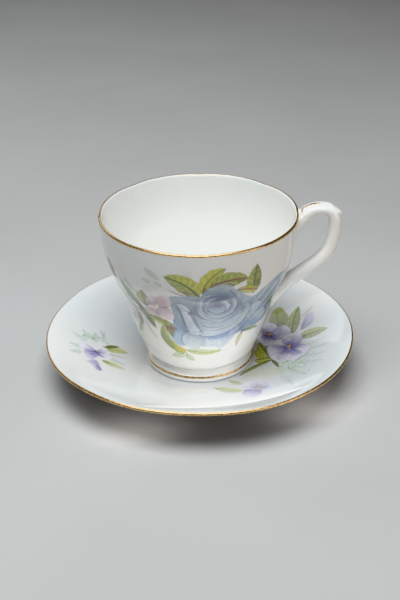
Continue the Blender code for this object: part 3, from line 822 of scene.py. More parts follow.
def paint_cup_leaves(s):
    leaf(s, (-113, 65), (-122, 69.5), 2.6, 0.2, GHOST, GHOST, GHOST, 0.45, seed=51)
    leaf(s, (-118.5, 63), (-125, 63.5), 2.0, 0.2, GHOST, GHOST, GHOST, 0.4, seed=52)
    leaf(s, (-111.5, 61.5), (-117, 63.5), 1.8, 0.0, GHOST, LEAF_BLUE, GHOST, 0.45, seed=53)
    wash(s, (-121, 59.5), (5.0, 3.0), 20, GHOST, 0.22, 54)
    wash(s, (-98, 68.5), (3.0, 3.4), 0, GHOST, 0.2, 55)
    leaf(s, (-152.5, 56), (-158.5, 64.5), 4.2, -0.3, LEAF, LEAF_DARK, LEAF_DARK, 0.85, seed=56)
    leaf(s, (-133.5, 48.5), (-146, 58), 3.6, 0.6, LEAF_BLUE, LEAF, LEAF_DARK, 0.6, seed=57)
    leaf(s, (-132.5, 55), (-140, 60.5), 2.4, 0.4, GHOST, LEAF_BLUE, GHOST, 0.5, seed=58)
    leaf(s, (-144, 45), (-152, 50), 3.0, 0.3, LEAF_BLUE, LEAF, LEAF_DARK, 0.5, seed=59)
    wash(s, (-149, 37), (5.5, 4.0), 60, LILAC_SHADE, 0.42, 60)
    wash(s, (-144, 33), (2.4, 5.0), 20, PALE_GREEN, 0.45, 61)
    stroke(s, [(-146, 41.5), (-141, 38), (-138, 34.5)], 1.0, pigment(186, 160, 104), 0.65, 0.3)
    stroke(s, [(-130.5, 56.5), (-131.2, 54), (-132, 51.5)], 0.5, PINK_SHADE, 0.6)

    leaf(s, (-90.5, 58), (-109.5, 66.8), -7.6, -1.6, LEAF_YELLOW, pigment(150, 166, 118), LEAF_DARK, 0.95,
         7, seed=62)
    wash(s, (-97, 59.8), (3.6, 1.0), 165, PINK_SHADE, 0.55, 63)
    stroke(s, [(-108.5, 61), (-104, 59.2), (-97, 58), (-91, 58.2)], 0.6, LEAF_BROWN, 0.7)
    leaf(s, (-88, 59.8), (-75.5, 71), 5.8, 1.8, LEAF_YELLOW, LEAF_YELLOW * 0.8, LEAF, 0.95, 5, seed=64)
    wash(s, (-87, 61), (1.3, 1.8), 0, LEAF_BROWN, 0.5, 65)
    leaf(s, (-83.5, 62.8), (-61.5, 64.5), 6.6, 1.4, LEAF_LIGHT, LEAF, LEAF_BROWN, 0.95, 7, seed=66)
    stroke(s, [(-83.5, 64.2), (-77, 64.6), (-69, 65), (-62.5, 63.2)], 0.5, LEAF_BROWN, 0.75)
    stroke(s, [(-80, 63.2), (-73, 64.2), (-66, 62)], 0.4, pigment(214, 214, 160), 0.6)
    leaf(s, (-56, 56.2), (-56, 70), 6.4, 0.5, LEAF_LIGHT, LEAF, LEAF_DARK, 0.95, 6, seed=67)
    wash(s, (-54, 61), (1.2, 2.6), 0, LEAF_DARK, 0.4, 68)
    leaf(s, (-53.5, 57), (-68.5, 59.4), 3.6, -0.5, LEAF_YELLOW, LEAF_YELLOW * 0.85, LEAF_BROWN, 0.9, 4,
         seed=69)
    wash(s, (-60.5, 59), (2.2, 0.6), 170, ORANGE, 0.4, 70)


def paint_cup_flowers(s):
    leaf(s, (-135.5, 46.2), (-144, 57.5), 5.4, 0.5, LEAF_BLUE, LEAF, LEAF_DARK, 0.85, 5, seed=71)
    leaf(s, (-134.8, 47.8), (-125.6, 35.4), 5.6, -0.4, LEAF_BLUE, LEAF, LEAF_DARK, 0.9, 5, seed=72)
    stroke(s, [(-136.5, 46.9), (-134, 45.6), (-130.7, 44.9)], 1.0, LEAF_DARK, 0.7, 0.3)
    stroke(s, [(-131.9, 55.7), (-132.2, 53.5), (-132.8, 51.3)], 0.5, LEAF_BROWN, 0.6)
    leaf(s, (-136, 43), (-148, 44), 3.8, 0.4, LEAF_BLUE, LEAF, LEAF_DARK, 0.6, 4, seed=65)
    leaf(s, (-140.5, 34), (-142.8, 41.5), 4.4, 0.3, LEAF_YELLOW, PINK_SHADE, LEAF_BROWN, 0.75, 3, seed=64)
    wash(s, (-142.5, 41), (1.5, 2.2), 0, PINK_SHADE, 0.5, 63)
    leaf(s, (-141, 35), (-150, 28), 3.6, 0.4, PALE_GREEN, LEAF_BLUE, LEAF, 0.55, 4, seed=62)
    leaf(s, (-127.3, 48.2), (-126.5, 57), 6.4, 0.2, LEAF_LIGHT, LEAF, LEAF_BROWN, 0.85, 5, seed=73)
    for k, (outline, lit) in enumerate((
            ([(-121.5, 49.5), (-126, 49.5), (-124, 53.5), (-119, 56), (-117, 53.5), (-118.5, 50.5)], 130),
            ([(-117.5, 51), (-117.5, 54.5), (-113.5, 57), (-109, 57), (-107, 54), (-110, 50.2),
              (-116, 49.3)], 40),
            ([(-122, 48), (-128, 47), (-130, 42.5), (-126, 40.5), (-119.5, 41.5), (-118.5, 46)], 215),
            ([(-118.5, 48.6), (-112, 50.5), (-108, 48.5), (-108, 43.5), (-114.5, 41.5), (-120, 44)], 310))):
        petal(s, outline, pigment(214, 192, 200), PINK_SHADE, lit, rim=1.0, strength=0.72, shadow=0.2,
              seed=74 + k)
    wash(s, (-112, 53.5), (2.4, 1.8), 30, pigment(176, 138, 152), 0.45, 79)
    wash(s, (-120.2, 49.6), (1.5, 1.0), 140, ORANGE, 0.9, 80)
    wash(s, (-120.6, 50.0), (0.6, 0.4), 140, YELLOW, 0.8, 81)
    for k in range(9):
        turn = np.radians(40 * k)
        middle = s.at([(-120.3, 49.6)])[0]
        out = np.array([np.cos(turn), np.sin(turn)])
        stroke_on(s, np.stack([middle + out * 1.0, middle + out * 1.6, middle + out * 2.5]), 0.3,
                  PINK_SHADE, 0.5)

    leaf(s, (-107.5, 37), (-130.5, 42), 4.6, -0.9, LEAF_YELLOW, LEAF, LEAF_DARK, 0.92, 6, seed=82)
    wash(s, (-112, 37.6), (3.0, 1.2), 170, pigment(110, 140, 100), 0.55, 83)
    stroke(s, [(-124, 42.2), (-117, 41.6), (-110, 39.6)], 0.5, LEAF_BROWN, 0.6)
    petal(s, [(-117, 38), (-113, 38.4), (-108.8, 37.5), (-111.5, 32.5), (-114, 34)], LEAF_BROWN, LEAF, 90,
          rim=0.1, seed=84)
    petal(s, [(-118, 38.4), (-120.6, 35), (-121.2, 31.5), (-118, 27.5), (-112.5, 24.5), (-107, 22.6),
              (-102.8, 23.8), (-102.2, 26), (-107.5, 27.8), (-112.5, 30.4), (-115.4, 33.8), (-116, 37)],
          LEAF_YELLOW, LEAF, 20, rim=0.05, shadow=0.15, seed=85)
    stroke(s, [(-118.2, 38.6), (-121, 35), (-121.6, 31.3), (-118.2, 27.2), (-112.5, 24.2)], 0.55,
           LEAF_BROWN, 0.8)
    stroke(s, [(-115.5, 37.8), (-115, 33.8), (-111, 30), (-104, 27)], 0.4, LEAF_DARK, 0.7)
    wash(s, (-106, 25.5), (2.8, 1.3), 160, pigment(204, 178, 96), 0.6, 86)
    stroke(s, [(-109, 26.5), (-105.5, 25.2), (-102.5, 24.6)], 0.4, ORANGE, 0.55)
    leaf(s, (-103.5, 23.5), (-116, 20.5), 5.4, 0.6, PALE_GREEN, pigment(160, 184, 140), LEAF, 0.62, 5,
         seed=87)
    leaf(s, (-101.5, 23), (-95, 19), 4.6, -0.4, PALE_GREEN, pigment(160, 184, 140), LEAF, 0.6, 4, seed=88)
    leaf(s, (-101, 25.5), (-71, 24.6), 4.6, -0.9, PALE_GREEN, LEAF_LIGHT, LEAF, 0.8, 6, seed=89)
    wash(s, (-91, 27), (1.6, 0.5), 5, LEAF_DARK, 0.5, 90)
    stroke(s, [(-102.8, 26), (-101.6, 23.5), (-101, 21)], 0.45, LEAF_BROWN, 0.6)
    stroke(s, [(-135.8, 37.6), (-131.2, 32.8), (-125.8, 28.6)], 0.6, pigment(134, 90, 104), 0.75)
    leaf(s, (-54.5, 33.6), (-37, 31.6), 2.8, 0.5, LEAF_LIGHT, LEAF, LEAF_DARK, 0.7, 4, seed=91)
    leaf(s, (-55.3, 33.4), (-57.8, 25), 3.0, -0.4, PALE_GREEN, LEAF_LIGHT, LEAF_BROWN, 0.6, 4, seed=92)
    wash(s, (-55, 32.6), (0.7, 1.4), 0, LEAF_BROWN, 0.7, 93)
    wash(s, (-60.5, 38), (1.8, 0.6), 10, LEAF_BROWN, 0.5, 94)
    wash(s, (-49, 40.2), (1.0, 0.8), 0, PINK_SHADE, 0.5, 95)


def violet(s, centre, petals, size, strength=0.95, guides=1.0, eye=1.0, seed=131):
    """A violet: each petal pale at its outer edge with dark veins from the centre, and a yellow eye."""
    middle = np.array(centre, float)
    for k, (outline, light, dark) in enumerate(petals):
        places = np.array(outline, float)
        out = places.mean(axis=0) - middle
        petal(s, outline, light, dark, np.degrees(np.arctan2(out[1], out[0])), rim=0.7, strength=strength,
              shadow=0.5 * strength, soft=0.28, folds=0.04, seed=seed + k)
        reach = np.linalg.norm(places - middle, axis=1)
        ends = smooth(places, 2, closed=True)
        far = np.linalg.norm(ends - middle, axis=1)
        for n, end in enumerate(ends[far > 0.5 * reach.max()]):
            share = 0.55 + 0.22 * ((n * 5 + k) % 3) / 2
            bend = middle + (end - middle) * share * 0.55 + 0.04 * out
            stroke(s, [middle + (end - middle) * 0.12, bend, middle + (end - middle) * share], 0.34, VIOLET,
                   0.42 * guides)
    for k in range(9):
        way = np.radians(20 + 40 * k)
        tip = middle + size * (0.42 + 0.16 * (k % 3)) * np.array([np.cos(way), 0.8 * np.sin(way)])
        stroke(s, [middle, (middle + tip) / 2, tip], 0.62, VIOLET, 0.75 * guides, 0.2)
    wash(s, centre, (size * 0.30, size * 0.22), 20, VIOLET, 0.7 * guides, 101)
    wash(s, (centre[0], centre[1] + 0.2), (size * 0.30 * eye, size * 0.20 * eye), 10, YELLOW, 1.0, 102)
    stroke(s, [middle + eye * np.array(p) for p in ((-0.7, -0.35), (0.0, -0.55), (0.8, -0.2))], 0.4 * eye,
           ORANGE, 0.8)


def broad_leaf(s, outline, rib, veins, light, dark, strength=0.9, seed=120):
    """A leaf given by its outline, with a midrib and pairs of side veins."""
    petal(s, outline, light, dark, 120, rim=0.1, strength=strength, shadow=0.25, soft=0.4, seed=seed)
    stroke(s, rib, 0.8, LEAF, 0.85 * strength, 0.3)
    line = evenly(smooth(rib, 6), 0.5)
    for k in range(1, veins + 1):
        spot = line[int(len(line) * k / (veins + 1.5))]
        for end in smooth(outline, 3, closed=True)[::4]:
            along = line[-1] - line[0]
            reach = end - spot
            if 0.15 < reach @ along / np.linalg.norm(reach) / np.linalg.norm(along) < 0.75:
                stroke(s, [spot, spot + 0.5 * reach, spot + 0.85 * reach + 0.03 * along], 0.5, LEAF,
                       0.6 * strength, 0.25)


def paint_saucer_right(s):
    for k, (base, tip, size) in enumerate((((44, -6), (58, -6), 3.2), ((42, -11), (57, -13), 3.6),
                                           ((42, -15), (55, -20), 3.4), ((38, -19), (47, -31), 3.6),
                                           ((36, -14), (36, -27), 2.6), ((45, -3), (58, 1), 2.6),
                                           ((36, -24), (40, -40), 3.0), ((48, 22), (54, 28), 2.0))):
        fern(s, base, tip, size, pigment(150, 176, 160), 0.62, 110 + k)
    wash(s, (43, -18), (10, 8), 320, pigment(186, 204, 196), 0.6, 118)
    wash(s, (31, -19), (9, 7), 20, pigment(206, 214, 176), 0.42, 119)
    wash(s, (24, -18), (6, 5), 0, pigment(206, 214, 176), 0.35, 117)
    broad_leaf(s, [(35.5, 18.6), (33.6, 21), (33.0, 25), (34.0, 29.5), (36.2, 33), (38.6, 33.6),
                   (40.6, 30.5), (42, 26), (41.6, 21.5), (39.3, 18.8), (37.5, 19.6)],
               [(37.4, 19.8), (37.2, 25), (36.8, 31.5)], 3, LEAF_LIGHT, LEAF, 0.9, seed=120)
    wash(s, (38.2, 22), (2.6, 2.0), 0, LEAF, 0.5, 121)
    stroke(s, [(34.2, 23.5), (37.5, 20.2), (41, 21.5)], 0.6, LEAF_DARK, 0.6)
    leaf(s, (43, 11.5), (47.2, 30.5), 6.4, 0.9, LEAF_LIGHT, LEAF, LEAF_DARK, 0.97, 6, seed=122)
    stroke(s, [(43.2, 12), (42, 17), (43, 22)], 0.5, LEAF_DARK, 0.6)
    petal(s, [(47.3, 12.8), (48.3, 18.5), (50.6, 23.4), (53.4, 24), (54, 19.5), (52, 15)], LILAC,
          LILAC_SHADE, 60, strength=0.75, seed=123)
    stroke(s, [(47.3, 12.5), (48.5, 16), (50, 19.5)], 0.8, VIOLET, 0.5, 0.3)
    leaf(s, (46, 7.5), (59, 7.2), 7.4, 0.4, LEAF_LIGHT, LEAF, LEAF_DARK, 0.97, 6, fade=0.3, seed=124)
    wash(s, (48, 7), (2.0, 2.6), 0, LEAF_DARK, 0.55, 125)

    leaf(s, (31.5, -5.5), (25.5, 3.5), 7.5, -0.3, LEAF_YELLOW, LEAF, pigment(206, 208, 150), 0.95, 5,
         seed=126)
    leaf(s, (31.5, -2.0), (27.5, 9.5), 5.6, 0.3, LEAF_YELLOW, LEAF, LEAF_DARK, 0.9, 5, seed=127)
    leaf(s, (32.5, -6.8), (24.8, -5.5), 6.4, 0.3, LEAF_YELLOW, LEAF, pigment(206, 208, 150), 0.95, 5,
         seed=128)
    leaf(s, (32.6, -7.6), (17.5, -19.2), 2.8, -1.6, LEAF_LIGHT, LEAF, LEAF_DARK, 0.9, 3, seed=129)
    leaf(s, (32.6, -7.6), (35.2, -16), 1.9, 0.3, LEAF, LEAF_DARK, LEAF_DARK, 0.85, 3, seed=130)

    violet(s, (32.8, 14.6), (
        ([(30, 15.5), (28.3, 13.5), (28, 10), (30.5, 5.6), (33.7, 6.4), (35.5, 9), (34, 13)], LILAC_PALE,
         LILAC_SHADE),
        ([(29.3, 16.3), (29.2, 20.5), (32, 23.8), (35, 23), (36.8, 19.5), (36, 16.5), (34, 14.3),
          (31.5, 14.8)],
         LILAC_PALE, LILAC_SHADE),
        ([(34.4, 15.5), (36.5, 18.7), (39.5, 20), (42, 17), (42.6, 12.5), (40.2, 10), (37, 8.8),
          (34.2, 10.8)],
         LILAC_PALE, LILAC_SHADE)), 4.4, seed=131)
    violet(s, (41, 1), (
        ([(31.2, 4.2), (33.5, 5.8), (36.5, 5), (39.2, 2.8), (40.8, 0.8), (38.6, -1.8), (36.2, -4.8),
          (36, -9.2), (32.8, -6.8), (31.2, -0.8)], LILAC_PALE, LILAC_SHADE),
        ([(41.4, 0.6), (44.5, 1.2), (48.2, 0.8), (50, -3.5), (47.2, -7.9), (44.4, -5.7), (41.8, -1.7)],
         LILAC_PALE, LILAC_SHADE),
        ([(40.4, -0.4), (43, -3.3), (45.8, -6.5), (44.2, -11.3), (40, -11.4), (36.8, -8.7), (35.9, -5.5),
          (38.4, -1.4)], LILAC_PALE, LILAC_SHADE),
        ([(37.8, 8), (40.3, 11.9), (44, 12), (46.9, 9.2), (47.4, 4.5), (45.6, 1.2), (43, 0.8), (40.4, 1.8),
          (38.8, 3.6)], LILAC_PALE, LILAC_SHADE)), 5.2, seed=141)

    for k in range(16):
        chance = np.random.default_rng(140 + k)
        place = (chance.uniform(36, 50), chance.uniform(-27, -12))
        wash(s, place, (1.3, 0.8), chance.uniform(0, 180), pigment(226, 232, 228), 0.8, 150 + k)
        way = np.radians(chance.uniform(0, 360))
        tip = (place[0] + 1.6 * np.cos(way), place[1] + 1.6 * np.sin(way))
        stroke(s, [place, ((place[0] + tip[0]) / 2 + 0.3, (place[1] + tip[1]) / 2), tip], 0.4, LEAF_BLUE,
               0.55)
    stroke(s, [(41, -14.5), (46, -11), (50.5, -8)], 0.6, LEAF_BLUE, 0.75)
    stroke(s, [(39.5, -16.5), (40, -20), (43, -17.5)], 0.5, LEAF_BLUE, 0.8)
    stroke(s, [(43.5, -28.5), (47, -27), (48.5, -24)], 0.4, LEAF_BLUE, 0.6)
    wash(s, (39.3, -11.8), (0.9, 0.7), 0, pigment(88, 110, 90), 0.8, 171)
    for place in ((37.8, -12.6), (45.5, -15.5), (41.8, -22)):
        wash(s, place, (1.1, 0.8), 30, LEAF_YELLOW, 0.85, 172)

    violet(s, (25.2, -33.6), (
        ([(18.5, -28), (22, -25.3), (25.2, -26.8), (26.3, -32.5), (23.5, -35), (20, -34), (17.5, -31.5)],
         LILAC_PALE, LILAC),
        ([(26, -32.3), (28.8, -28.6), (32, -31.5), (32.2, -37.5), (28.5, -39.5), (26.3, -36.5)],
         LILAC_PALE, LILAC),
        ([(19, -35.2), (23.5, -35.9), (26.4, -36.8), (26, -42), (22.5, -45), (18.5, -41.5)], LILAC,
         LILAC_SHADE)),
           3.6, 0.72, 0.8, seed=173)
    stroke(s, [(17.5, -35.3), (21, -35.9), (25.5, -36)], 0.6, VIOLET, 0.5, 0.25)
    stroke(s, [(26.3, -35.5), (28, -35), (30, -33.5)], 1.5, VIOLET, 0.5, 0.6)
    leaf(s, (17.8, -36), (6, -30), 5.0, 0.4, PALE_GREEN, pigment(176, 186, 116), LEAF_LIGHT, 0.72, 5,
         seed=175)
    leaf(s, (18.2, -28.2), (12.5, -22), 3.2, 0.3, PALE_GREEN, LEAF_LIGHT, LEAF_LIGHT, 0.62, 4, seed=176)
    wash(s, (29, -34), (7, 9), 30, pigment(200, 208, 212), 0.2, 177)


def paint_saucer_left(s):
    green = pigment(146, 172, 156)
    for k, (base, tip, size) in enumerate((((-51, 2), (-60, 6.5), 2.6), ((-50, 4), (-55, 11), 2.6),
                                           ((-48, 3), (-49, 11.5), 2.2), ((-52, -4), (-60, -4), 2.4),
                                           ((-53, -8), (-59, -11), 2.4), ((-43, -4.5), (-33.5, -5.5), 2.0),
                                           ((-45, 4), (-45, 14), 1.8), ((-42, -8), (-34, -12), 2.0))):
        fern(s, base, tip, size, green, 0.62, 180 + k)
    wash(s, (-50, 7), (4.5, 4), 0, pigment(184, 200, 190), 0.6, 190)
    stroke(s, [(-47, 14.8), (-46, 11.5), (-44.3, 8.8)], 0.5, LEAF_BLUE, 0.65)
    for place, tone in (((-50, 6), LEAF), ((-43.2, 5), LEAF_LIGHT), ((-47.2, 7.6), LEAF_BLUE),
                        ((-54, 6), LEAF_BLUE)):
        wash(s, place, (1.1, 0.8), 20, tone, 0.7, 191)
    leaf(s, (-44.6, 0.8), (-33.5, -0.6), 5.6, 0.3, LEAF_YELLOW, LEAF_LIGHT, LEAF, 0.9, 4, fade=0.3, seed=192)
    leaf(s, (-43.5, 1.6), (-37.6, 3.4), 2.6, 0.2, LEAF, LEAF_DARK, LEAF_DARK, 0.9, 3, seed=193)
    wash(s, (-42, 0.9), (1.6, 0.7), 0, LEAF_DARK, 0.75, 194)
    leaf(s, (-44.2, -11.4), (-33.5, -17), 3.8, 0.4, LEAF_YELLOW, LEAF_LIGHT, LEAF, 0.95, 3, fade=0.75,
         seed=195)
    wash(s, (-41.6, -13.2), (2.0, 0.6), 330, LEAF_DARK, 0.7, 196)

    violet(s, (-47.4, -4.9), (
        ([(-55.5, -4), (-54.2, -0.8), (-50.8, -1), (-48, -3.2), (-48.2, -6), (-52.5, -6.4)], LILAC_PALE,
         LILAC),
        ([(-46.6, -3), (-45.5, 0.2), (-43, 0), (-42.6, -2.8), (-44.6, -5.2)], LILAC_PALE, LILAC),
        ([(-46.8, -4.8), (-43.8, -3.6), (-40.4, -6.6), (-42, -10.8), (-45.2, -9)], LILAC_PALE, LILAC),
        ([(-53, -7.8), (-51, -12), (-48.5, -12.8), (-46.6, -9.8), (-46.2, -6.3), (-49, -5), (-52.2, -5.4)],
         LILAC, LILAC_SHADE)), 3.4, 0.85, 0.9, 0.5, seed=197)
    stroke(s, [(-53.5, -0.4), (-50.5, -2), (-48.3, -4)], 0.5, VIOLET, 0.65)
    stroke(s, [(-47.5, -5.2), (-46, -7), (-43.6, -8.4)], 0.9, VIOLET, 0.8, 0.25)
    stroke(s, [(-47, -5.5), (-45.5, -4.6), (-44, -4.6)], 0.9, VIOLET, 0.5, 0.3)
    wash(s, (-49.4, -8.2), (1.4, 1.0), 0, pigment(120, 116, 190), 0.6, 201)
    stroke(s, [(-48.4, -3.4), (-48.0, -4.6), (-47.4, -6)], 0.6, LEAF_BROWN, 0.8)
    petal(s, [(-51, -15.8), (-48.5, -17.8), (-46.2, -21.8), (-43.6, -21.8), (-44.6, -17.5), (-46.5, -13),
              (-48.8, -13.2)], LILAC, LILAC_SHADE, 200, strength=0.8, seed=202)
    stroke(s, [(-46.6, -17), (-45.5, -19), (-43.8, -21)], 0.9, VIOLET, 0.55, 0.3)


# ---------------------------------------------------------------- the prints' sheets

def cup_canvas():
    """Tables that turn a height on the cup into a canvas height, which keeps a drawing's angles."""
    line = CUP_LINE[CUP_LINE[:, 1] > BOWL_BOTTOM + 0.5][::-1]
    step = np.linalg.norm(np.diff(line, axis=0), axis=1) / ((line[1:, 0] + line[:-1, 0]) / 2)
    return line, np.concatenate([[0.0], np.cumsum(step)]) * CANVAS_RADIUS


def on_cup(places):
    """Canvas points from (azimuth in degrees, height in millimetres)."""
    azimuth, height = np.array(places, float).T
    line, rise = cup_canvas()
    return np.stack([np.radians(azimuth) * CANVAS_RADIUS, np.interp(height, line[:, 1], rise)], axis=1)


def cup_sheet():
    low, high = on_cup([(-164, 16), (-18, 73)])
    return Sheet(low, high, on_cup)


def as_plan(places):
    return np.array(places, float)


def cup_points(sheet, turn):
    """Where the cup sheet's grid lies, just proud of the bowl, with the drawing turned about Z."""
    line, rise = cup_canvas()
    proud = offset(line, FILM)
    azimuth = sheet.u / CANVAS_RADIUS + turn
    radius, height = (np.interp(sheet.v, rise, proud[:, k]) for k in (0, 1))
    return lobed_rim(np.stack([radius * np.cos(azimuth), radius * np.sin(azimuth), height], axis=1))


def saucer_points(sheet):
    radius = np.hypot(sheet.u, sheet.v)
    height = np.interp(radius, SAUCER_LINE[:, 0], SAUCER_LINE[:, 1]) + FILM
    return waved_saucer(np.stack([sheet.u, sheet.v, height], axis=1))


def make_print(name, sheet, points, material):
    """The painted part of a sheet as a mesh, with its paint and cover in a colour attribute."""
    columns, rows = len(sheet.u_line), len(sheet.v_line)
    i, j = np.meshgrid(np.arange(columns - 1), np.arange(rows - 1), indexing="ij")
    corner = (i * rows + j).ravel()
    quads = np.stack([corner, corner + rows, corner + rows + 1, corner + 1], axis=1)
    quads = quads[sheet.cover[quads].max(axis=1) > 0.004]
    used, quads = np.unique(quads, return_inverse=True)
    obj = add_object(name, points[used], quads.reshape(-1, 4), material)
    paint = obj.data.color_attributes.new("paint", "FLOAT_COLOR", "POINT")
    paint.data.foreach_set("color", np.column_stack([sheet.paint[used], sheet.cover[used]]).ravel())
    return obj


def make_prints(materials):
    spray = cup_sheet()
    paint_rose_behind(spray)
    paint_cup_leaves(spray)
    paint_rose(spray)
    paint_cup_flowers(spray)
    right = Sheet((3, -48), (62, 38), as_plan)
    paint_saucer_right(right)
    left = Sheet((-64, -25), (-30, 18), as_plan)
    paint_saucer_left(left)
    prints = {}
    for name, turn in (("cup_transfer_front", 0.0), ("cup_transfer_back", np.pi)):
        prints[name] = make_print(name + "_fine", spray, cup_points(spray, turn), materials["cup"])
    for name, sheet in (("saucer_transfer_right", right), ("saucer_transfer_left", left)):
        prints[name] = make_print(name + "_fine", sheet, saucer_points(sheet), materials["saucer"])
    return prints


# ---------------------------------------------------------------- materials

def node(tree, kind, settings=(), **inputs):
    """A node with its settings and inputs. An input's name has _ for a space."""
    made = tree.nodes.new(kind)
    for key, value in dict(settings).items():
        setattr(made, key, value)
    for key, value in inputs.items():
        socket = made.inputs[int(key[1:]) if key[0] == "_" else key.replace("_", " ")]
        if isinstance(value, bpy.types.NodeSocket):
            tree.links.new(value, socket)
        else:
            socket.default_value = value
    return made


def new_material(name):
    material = bpy.data.materials.new(name)
    material.use_nodes = True
    return material, material.node_tree, material.node_tree.nodes["Principled BSDF"]


def spot_noise(tree, scale, detail=3.0, roughness=0.5, distortion=0.0):
    """Noise in the object's own space, in features per metre."""
    place = node(tree, "ShaderNodeTexCoord").outputs["Object"]
    return node(tree, "ShaderNodeTexNoise", Vector=place, Scale=scale, Detail=detail, Roughness=roughness,
                Distortion=distortion).outputs["Fac"]


def tints(tree, fac, *stops):
    """A colour ramp: stops are (position, (r, g, b))."""
    made = node(tree, "ShaderNodeValToRGB", Fac=fac)
    ends = made.color_ramp.elements
    while len(ends) < len(stops):
        ends.new(0.5)
    for element, (position, colour) in zip(ends, stops):
        element.position = position
        element.color = (*colour, 1.0)
    return made.outputs["Color"]


def mapped(tree, value, low, high):
    return node(tree, "ShaderNodeMapRange", Value=value, _3=low, _4=high).outputs["Result"]


def mixed(tree, fac, a, b, blend="MIX"):
    made = node(tree, "ShaderNodeMix", {"data_type": "RGBA", "blend_type": blend, "clamp_result": True})
    for socket, value in ((made.inputs["Factor"], fac), (made.inputs[6], a), (made.inputs[7], b)):
        if isinstance(value, bpy.types.NodeSocket):
            tree.links.new(value, socket)
        else:
            socket.default_value = value
    return made.outputs[2]


CUP_CHINA = (0.800, 0.787, 0.757), (0.772, 0.795, 0.797)
# The saucer's china is the cup's china made a little darker and bluer: painted shade for the dimmer, cooler
# light that falls on the saucer.
SAUCER_CHINA_SHADED = (0.705, 0.710, 0.700), (0.675, 0.708, 0.725)


def glaze(tree, shader, tones, printed=False):
    """Bone china under a clear glaze. A print's colour and cover come from the mesh."""
    body = tints(tree, spot_noise(tree, 26.0, 2.0), (0.35, tones[0]), (0.65, tones[1]))
    colour = body
    if printed:
        paint = node(tree, "ShaderNodeVertexColor", {"layer_name": "paint"})
        grain = mapped(tree, spot_noise(tree, 2600.0, 2.0), 0.86, 1.1)
        cover = node(tree, "ShaderNodeMath", {"operation": "MULTIPLY", "use_clamp": True},
                     _0=paint.outputs["Alpha"], _1=grain).outputs[0]
        colour = mixed(tree, cover, body, paint.outputs["Color"])
    tree.links.new(colour, shader.inputs["Base Color"])
    tree.links.new(mapped(tree, spot_noise(tree, 90.0, 3.0), 0.07, 0.15), shader.inputs["Roughness"])
    shader.inputs["IOR"].default_value = 1.54
    shader.inputs["Subsurface Weight"].default_value = 0.12
    shader.inputs["Subsurface Radius"].default_value = (1.0, 0.8, 0.6)
    shader.inputs["Subsurface Scale"].default_value = 0.0015
    shader.inputs["Coat Weight"].default_value = 0.5
    shader.inputs["Coat Roughness"].default_value = 0.04
    waves = node(tree, "ShaderNodeBump", Strength=0.25, Distance=0.00004,
                 Height=spot_noise(tree, 130.0, 2.0))
    tree.links.new(waves.outputs["Normal"], shader.inputs["Normal"])


def china_material(name, tones, printed=False):
    material, tree, shader = new_material(name)
    glaze(tree, shader, tones, printed)
    return material


def gold_material():
    """Burnished gilding, a little rubbed and uneven."""
    material, tree, shader = new_material("burnished_gold")
    colour = tints(tree, spot_noise(tree, 700.0, 4.0, 0.6), (0.30, (0.56, 0.36, 0.17)),
                   (0.55, (0.84, 0.60, 0.31)), (0.8, (0.98, 0.80, 0.50)))
    tree.links.new(colour, shader.inputs["Base Color"])
    shader.inputs["Metallic"].default_value = 1.0
    tree.links.new(mapped(tree, spot_noise(tree, 1500.0, 3.0), 0.16, 0.42), shader.inputs["Roughness"])
    brush = node(tree, "ShaderNodeBump", Strength=0.3, Distance=0.00003,
                 Height=spot_noise(tree, 2500.0, 3.0))
    tree.links.new(brush.outputs["Normal"], shader.inputs["Normal"])
    return material


def floor_material():
    material, tree, shader = new_material("pale_floor")
    colour = tints(tree, spot_noise(tree, 9.0, 4.0), (0.3, (0.40, 0.40, 0.40)), (0.7, (0.43, 0.43, 0.43)))
    tree.links.new(colour, shader.inputs["Base Color"])
    shader.inputs["Roughness"].default_value = 0.75
    return material


# ---------------------------------------------------------------- studio

def make_floor():
    """A plain pale floor: one flat sheet under the saucer, reaching far behind it."""
    mesh = bpy.data.meshes.new("floor")
    half, far = 3.0, 6.0
    mesh.from_pydata([(-half, -half, 0), (half, -half, 0), (half, far, 0), (-half, far, 0)], [],
                     [(0, 1, 2, 3)])
    floor = bpy.data.objects.new("floor", mesh)
    bpy.context.scene.collection.objects.link(floor)
    mesh.materials.append(floor_material())


def soft_light(name, place, target, size, watts, colour=(1.0, 1.0, 1.0)):
    data = bpy.data.lights.new(name, "AREA")
    data.shape = "RECTANGLE"
    data.size, data.size_y = size
    data.energy = watts
    data.color = colour
    light = bpy.data.objects.new(name, data)
    light.location = place
    light.rotation_euler = (Vector(target) - Vector(place)).to_track_quat("-Z", "Y").to_euler()
    bpy.context.scene.collection.objects.link(light)
    return light


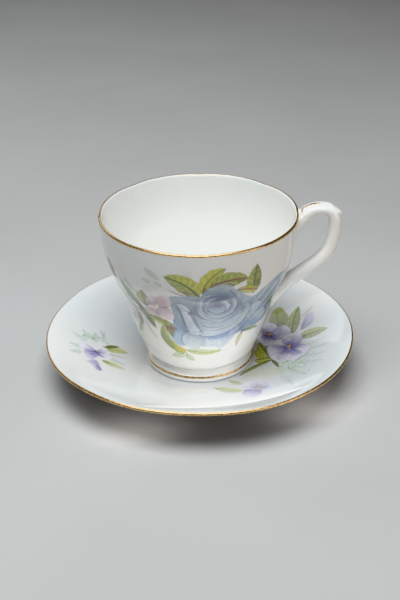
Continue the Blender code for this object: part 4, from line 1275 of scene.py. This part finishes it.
def make_lights():
    aim = (0.0, 0.0, 0.04)
    soft_light("overhead", (-0.06, -0.15, 0.72), aim, (0.60, 0.45), 7.8, (0.96, 1.0, 1.0))
    soft_light("window_behind", (-0.35, 0.55, 0.45), aim, (0.5, 0.4), 0.8, (0.90, 0.96, 1.0))
    soft_light("warm_card", (0.36, -0.26, 0.10), aim, (0.30, 0.20), 0.36, (1.0, 0.88, 0.79))
    bounce = soft_light("saucer_bounce", (0.012, -0.054, 0.0155), (0.004, -0.015, 0.008), (0.10, 0.005),
                        0.0155, (1.0, 0.93, 0.88))
    bounce.visible_camera = False
    bounce.visible_glossy = False
    world = bpy.data.worlds.new("studio")
    world.use_nodes = True
    background = world.node_tree.nodes["Background"]
    background.inputs["Color"].default_value = (1.0, 0.86, 0.82, 1.0)
    background.inputs["Strength"].default_value = 0.10
    bpy.context.scene.world = world
    bpy.context.scene.view_settings.view_transform = "Khronos PBR Neutral"


CAMERA_PLACE = (0.00159, -0.4751, 0.2903)
CAMERA_DOWN, CAMERA_TURN, CAMERA_ROLL = 0.494, -0.003, -0.011
CAMERA_LENS = 71.84


def make_camera():
    data = bpy.data.cameras.new("camera")
    data.sensor_fit = "VERTICAL"
    data.sensor_height = 36.0
    data.lens = CAMERA_LENS
    data.clip_start = 0.01
    camera = bpy.data.objects.new("camera", data)
    down, turn = np.cos(CAMERA_DOWN), CAMERA_TURN
    ahead = Vector((np.sin(turn) * down, np.cos(turn) * down, -np.sin(CAMERA_DOWN)))
    right = Vector((np.cos(turn), -np.sin(turn), 0.0))
    level = Matrix((right, right.cross(ahead), -ahead)).transposed()
    camera.matrix_world = Matrix.Translation(CAMERA_PLACE) @ (level @ Matrix.Rotation(CAMERA_ROLL, 3,
                                                                                      "Z")).to_4x4()
    bpy.context.scene.collection.objects.link(camera)
    bpy.context.scene.camera = camera


# ---------------------------------------------------------------- everything

def place(piece, body, slot, *nodes):
    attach(piece, body)
    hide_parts(*nodes)


def main():
    china, gold = china_material("cup_china", CUP_CHINA), gold_material()
    place(make_bowl(china), "cup", "china", "cup_bowl")
    place(make_foot(china), "cup", "china", "cup_foot")
    handle = make_handle(china)
    place(handle, "cup", "china", "cup_handle")
    place(make_handle_gilding(handle, gold), "cup", "gilding", "cup_handle_gilding")
    # the saucer's china is a darker, bluer copy of the cup's: painted shade
    place(make_saucer(china_material("saucer_china_painted_shade", SAUCER_CHINA_SHADED)), "saucer", "china", "saucer")
    rim, edge, foot = make_gilding(gold)
    place(rim, "cup", "gilding", "cup_rim_gilding")
    place(edge, "saucer", "gilding", "saucer_rim_gilding")
    place(foot, "cup", "gilding", "cup_foot_gilding")
    # the saucer's print lies on the same painted-shade china
    prints = {"cup": china_material("cup_print", CUP_CHINA, printed=True),
              "saucer": china_material("saucer_print_painted_shade", SAUCER_CHINA_SHADED, printed=True)}
    for name, sheet in make_prints(prints).items():
        place(sheet, name.split("_")[0], "print", name)
    make_floor()
    make_lights()
    make_camera()


main()
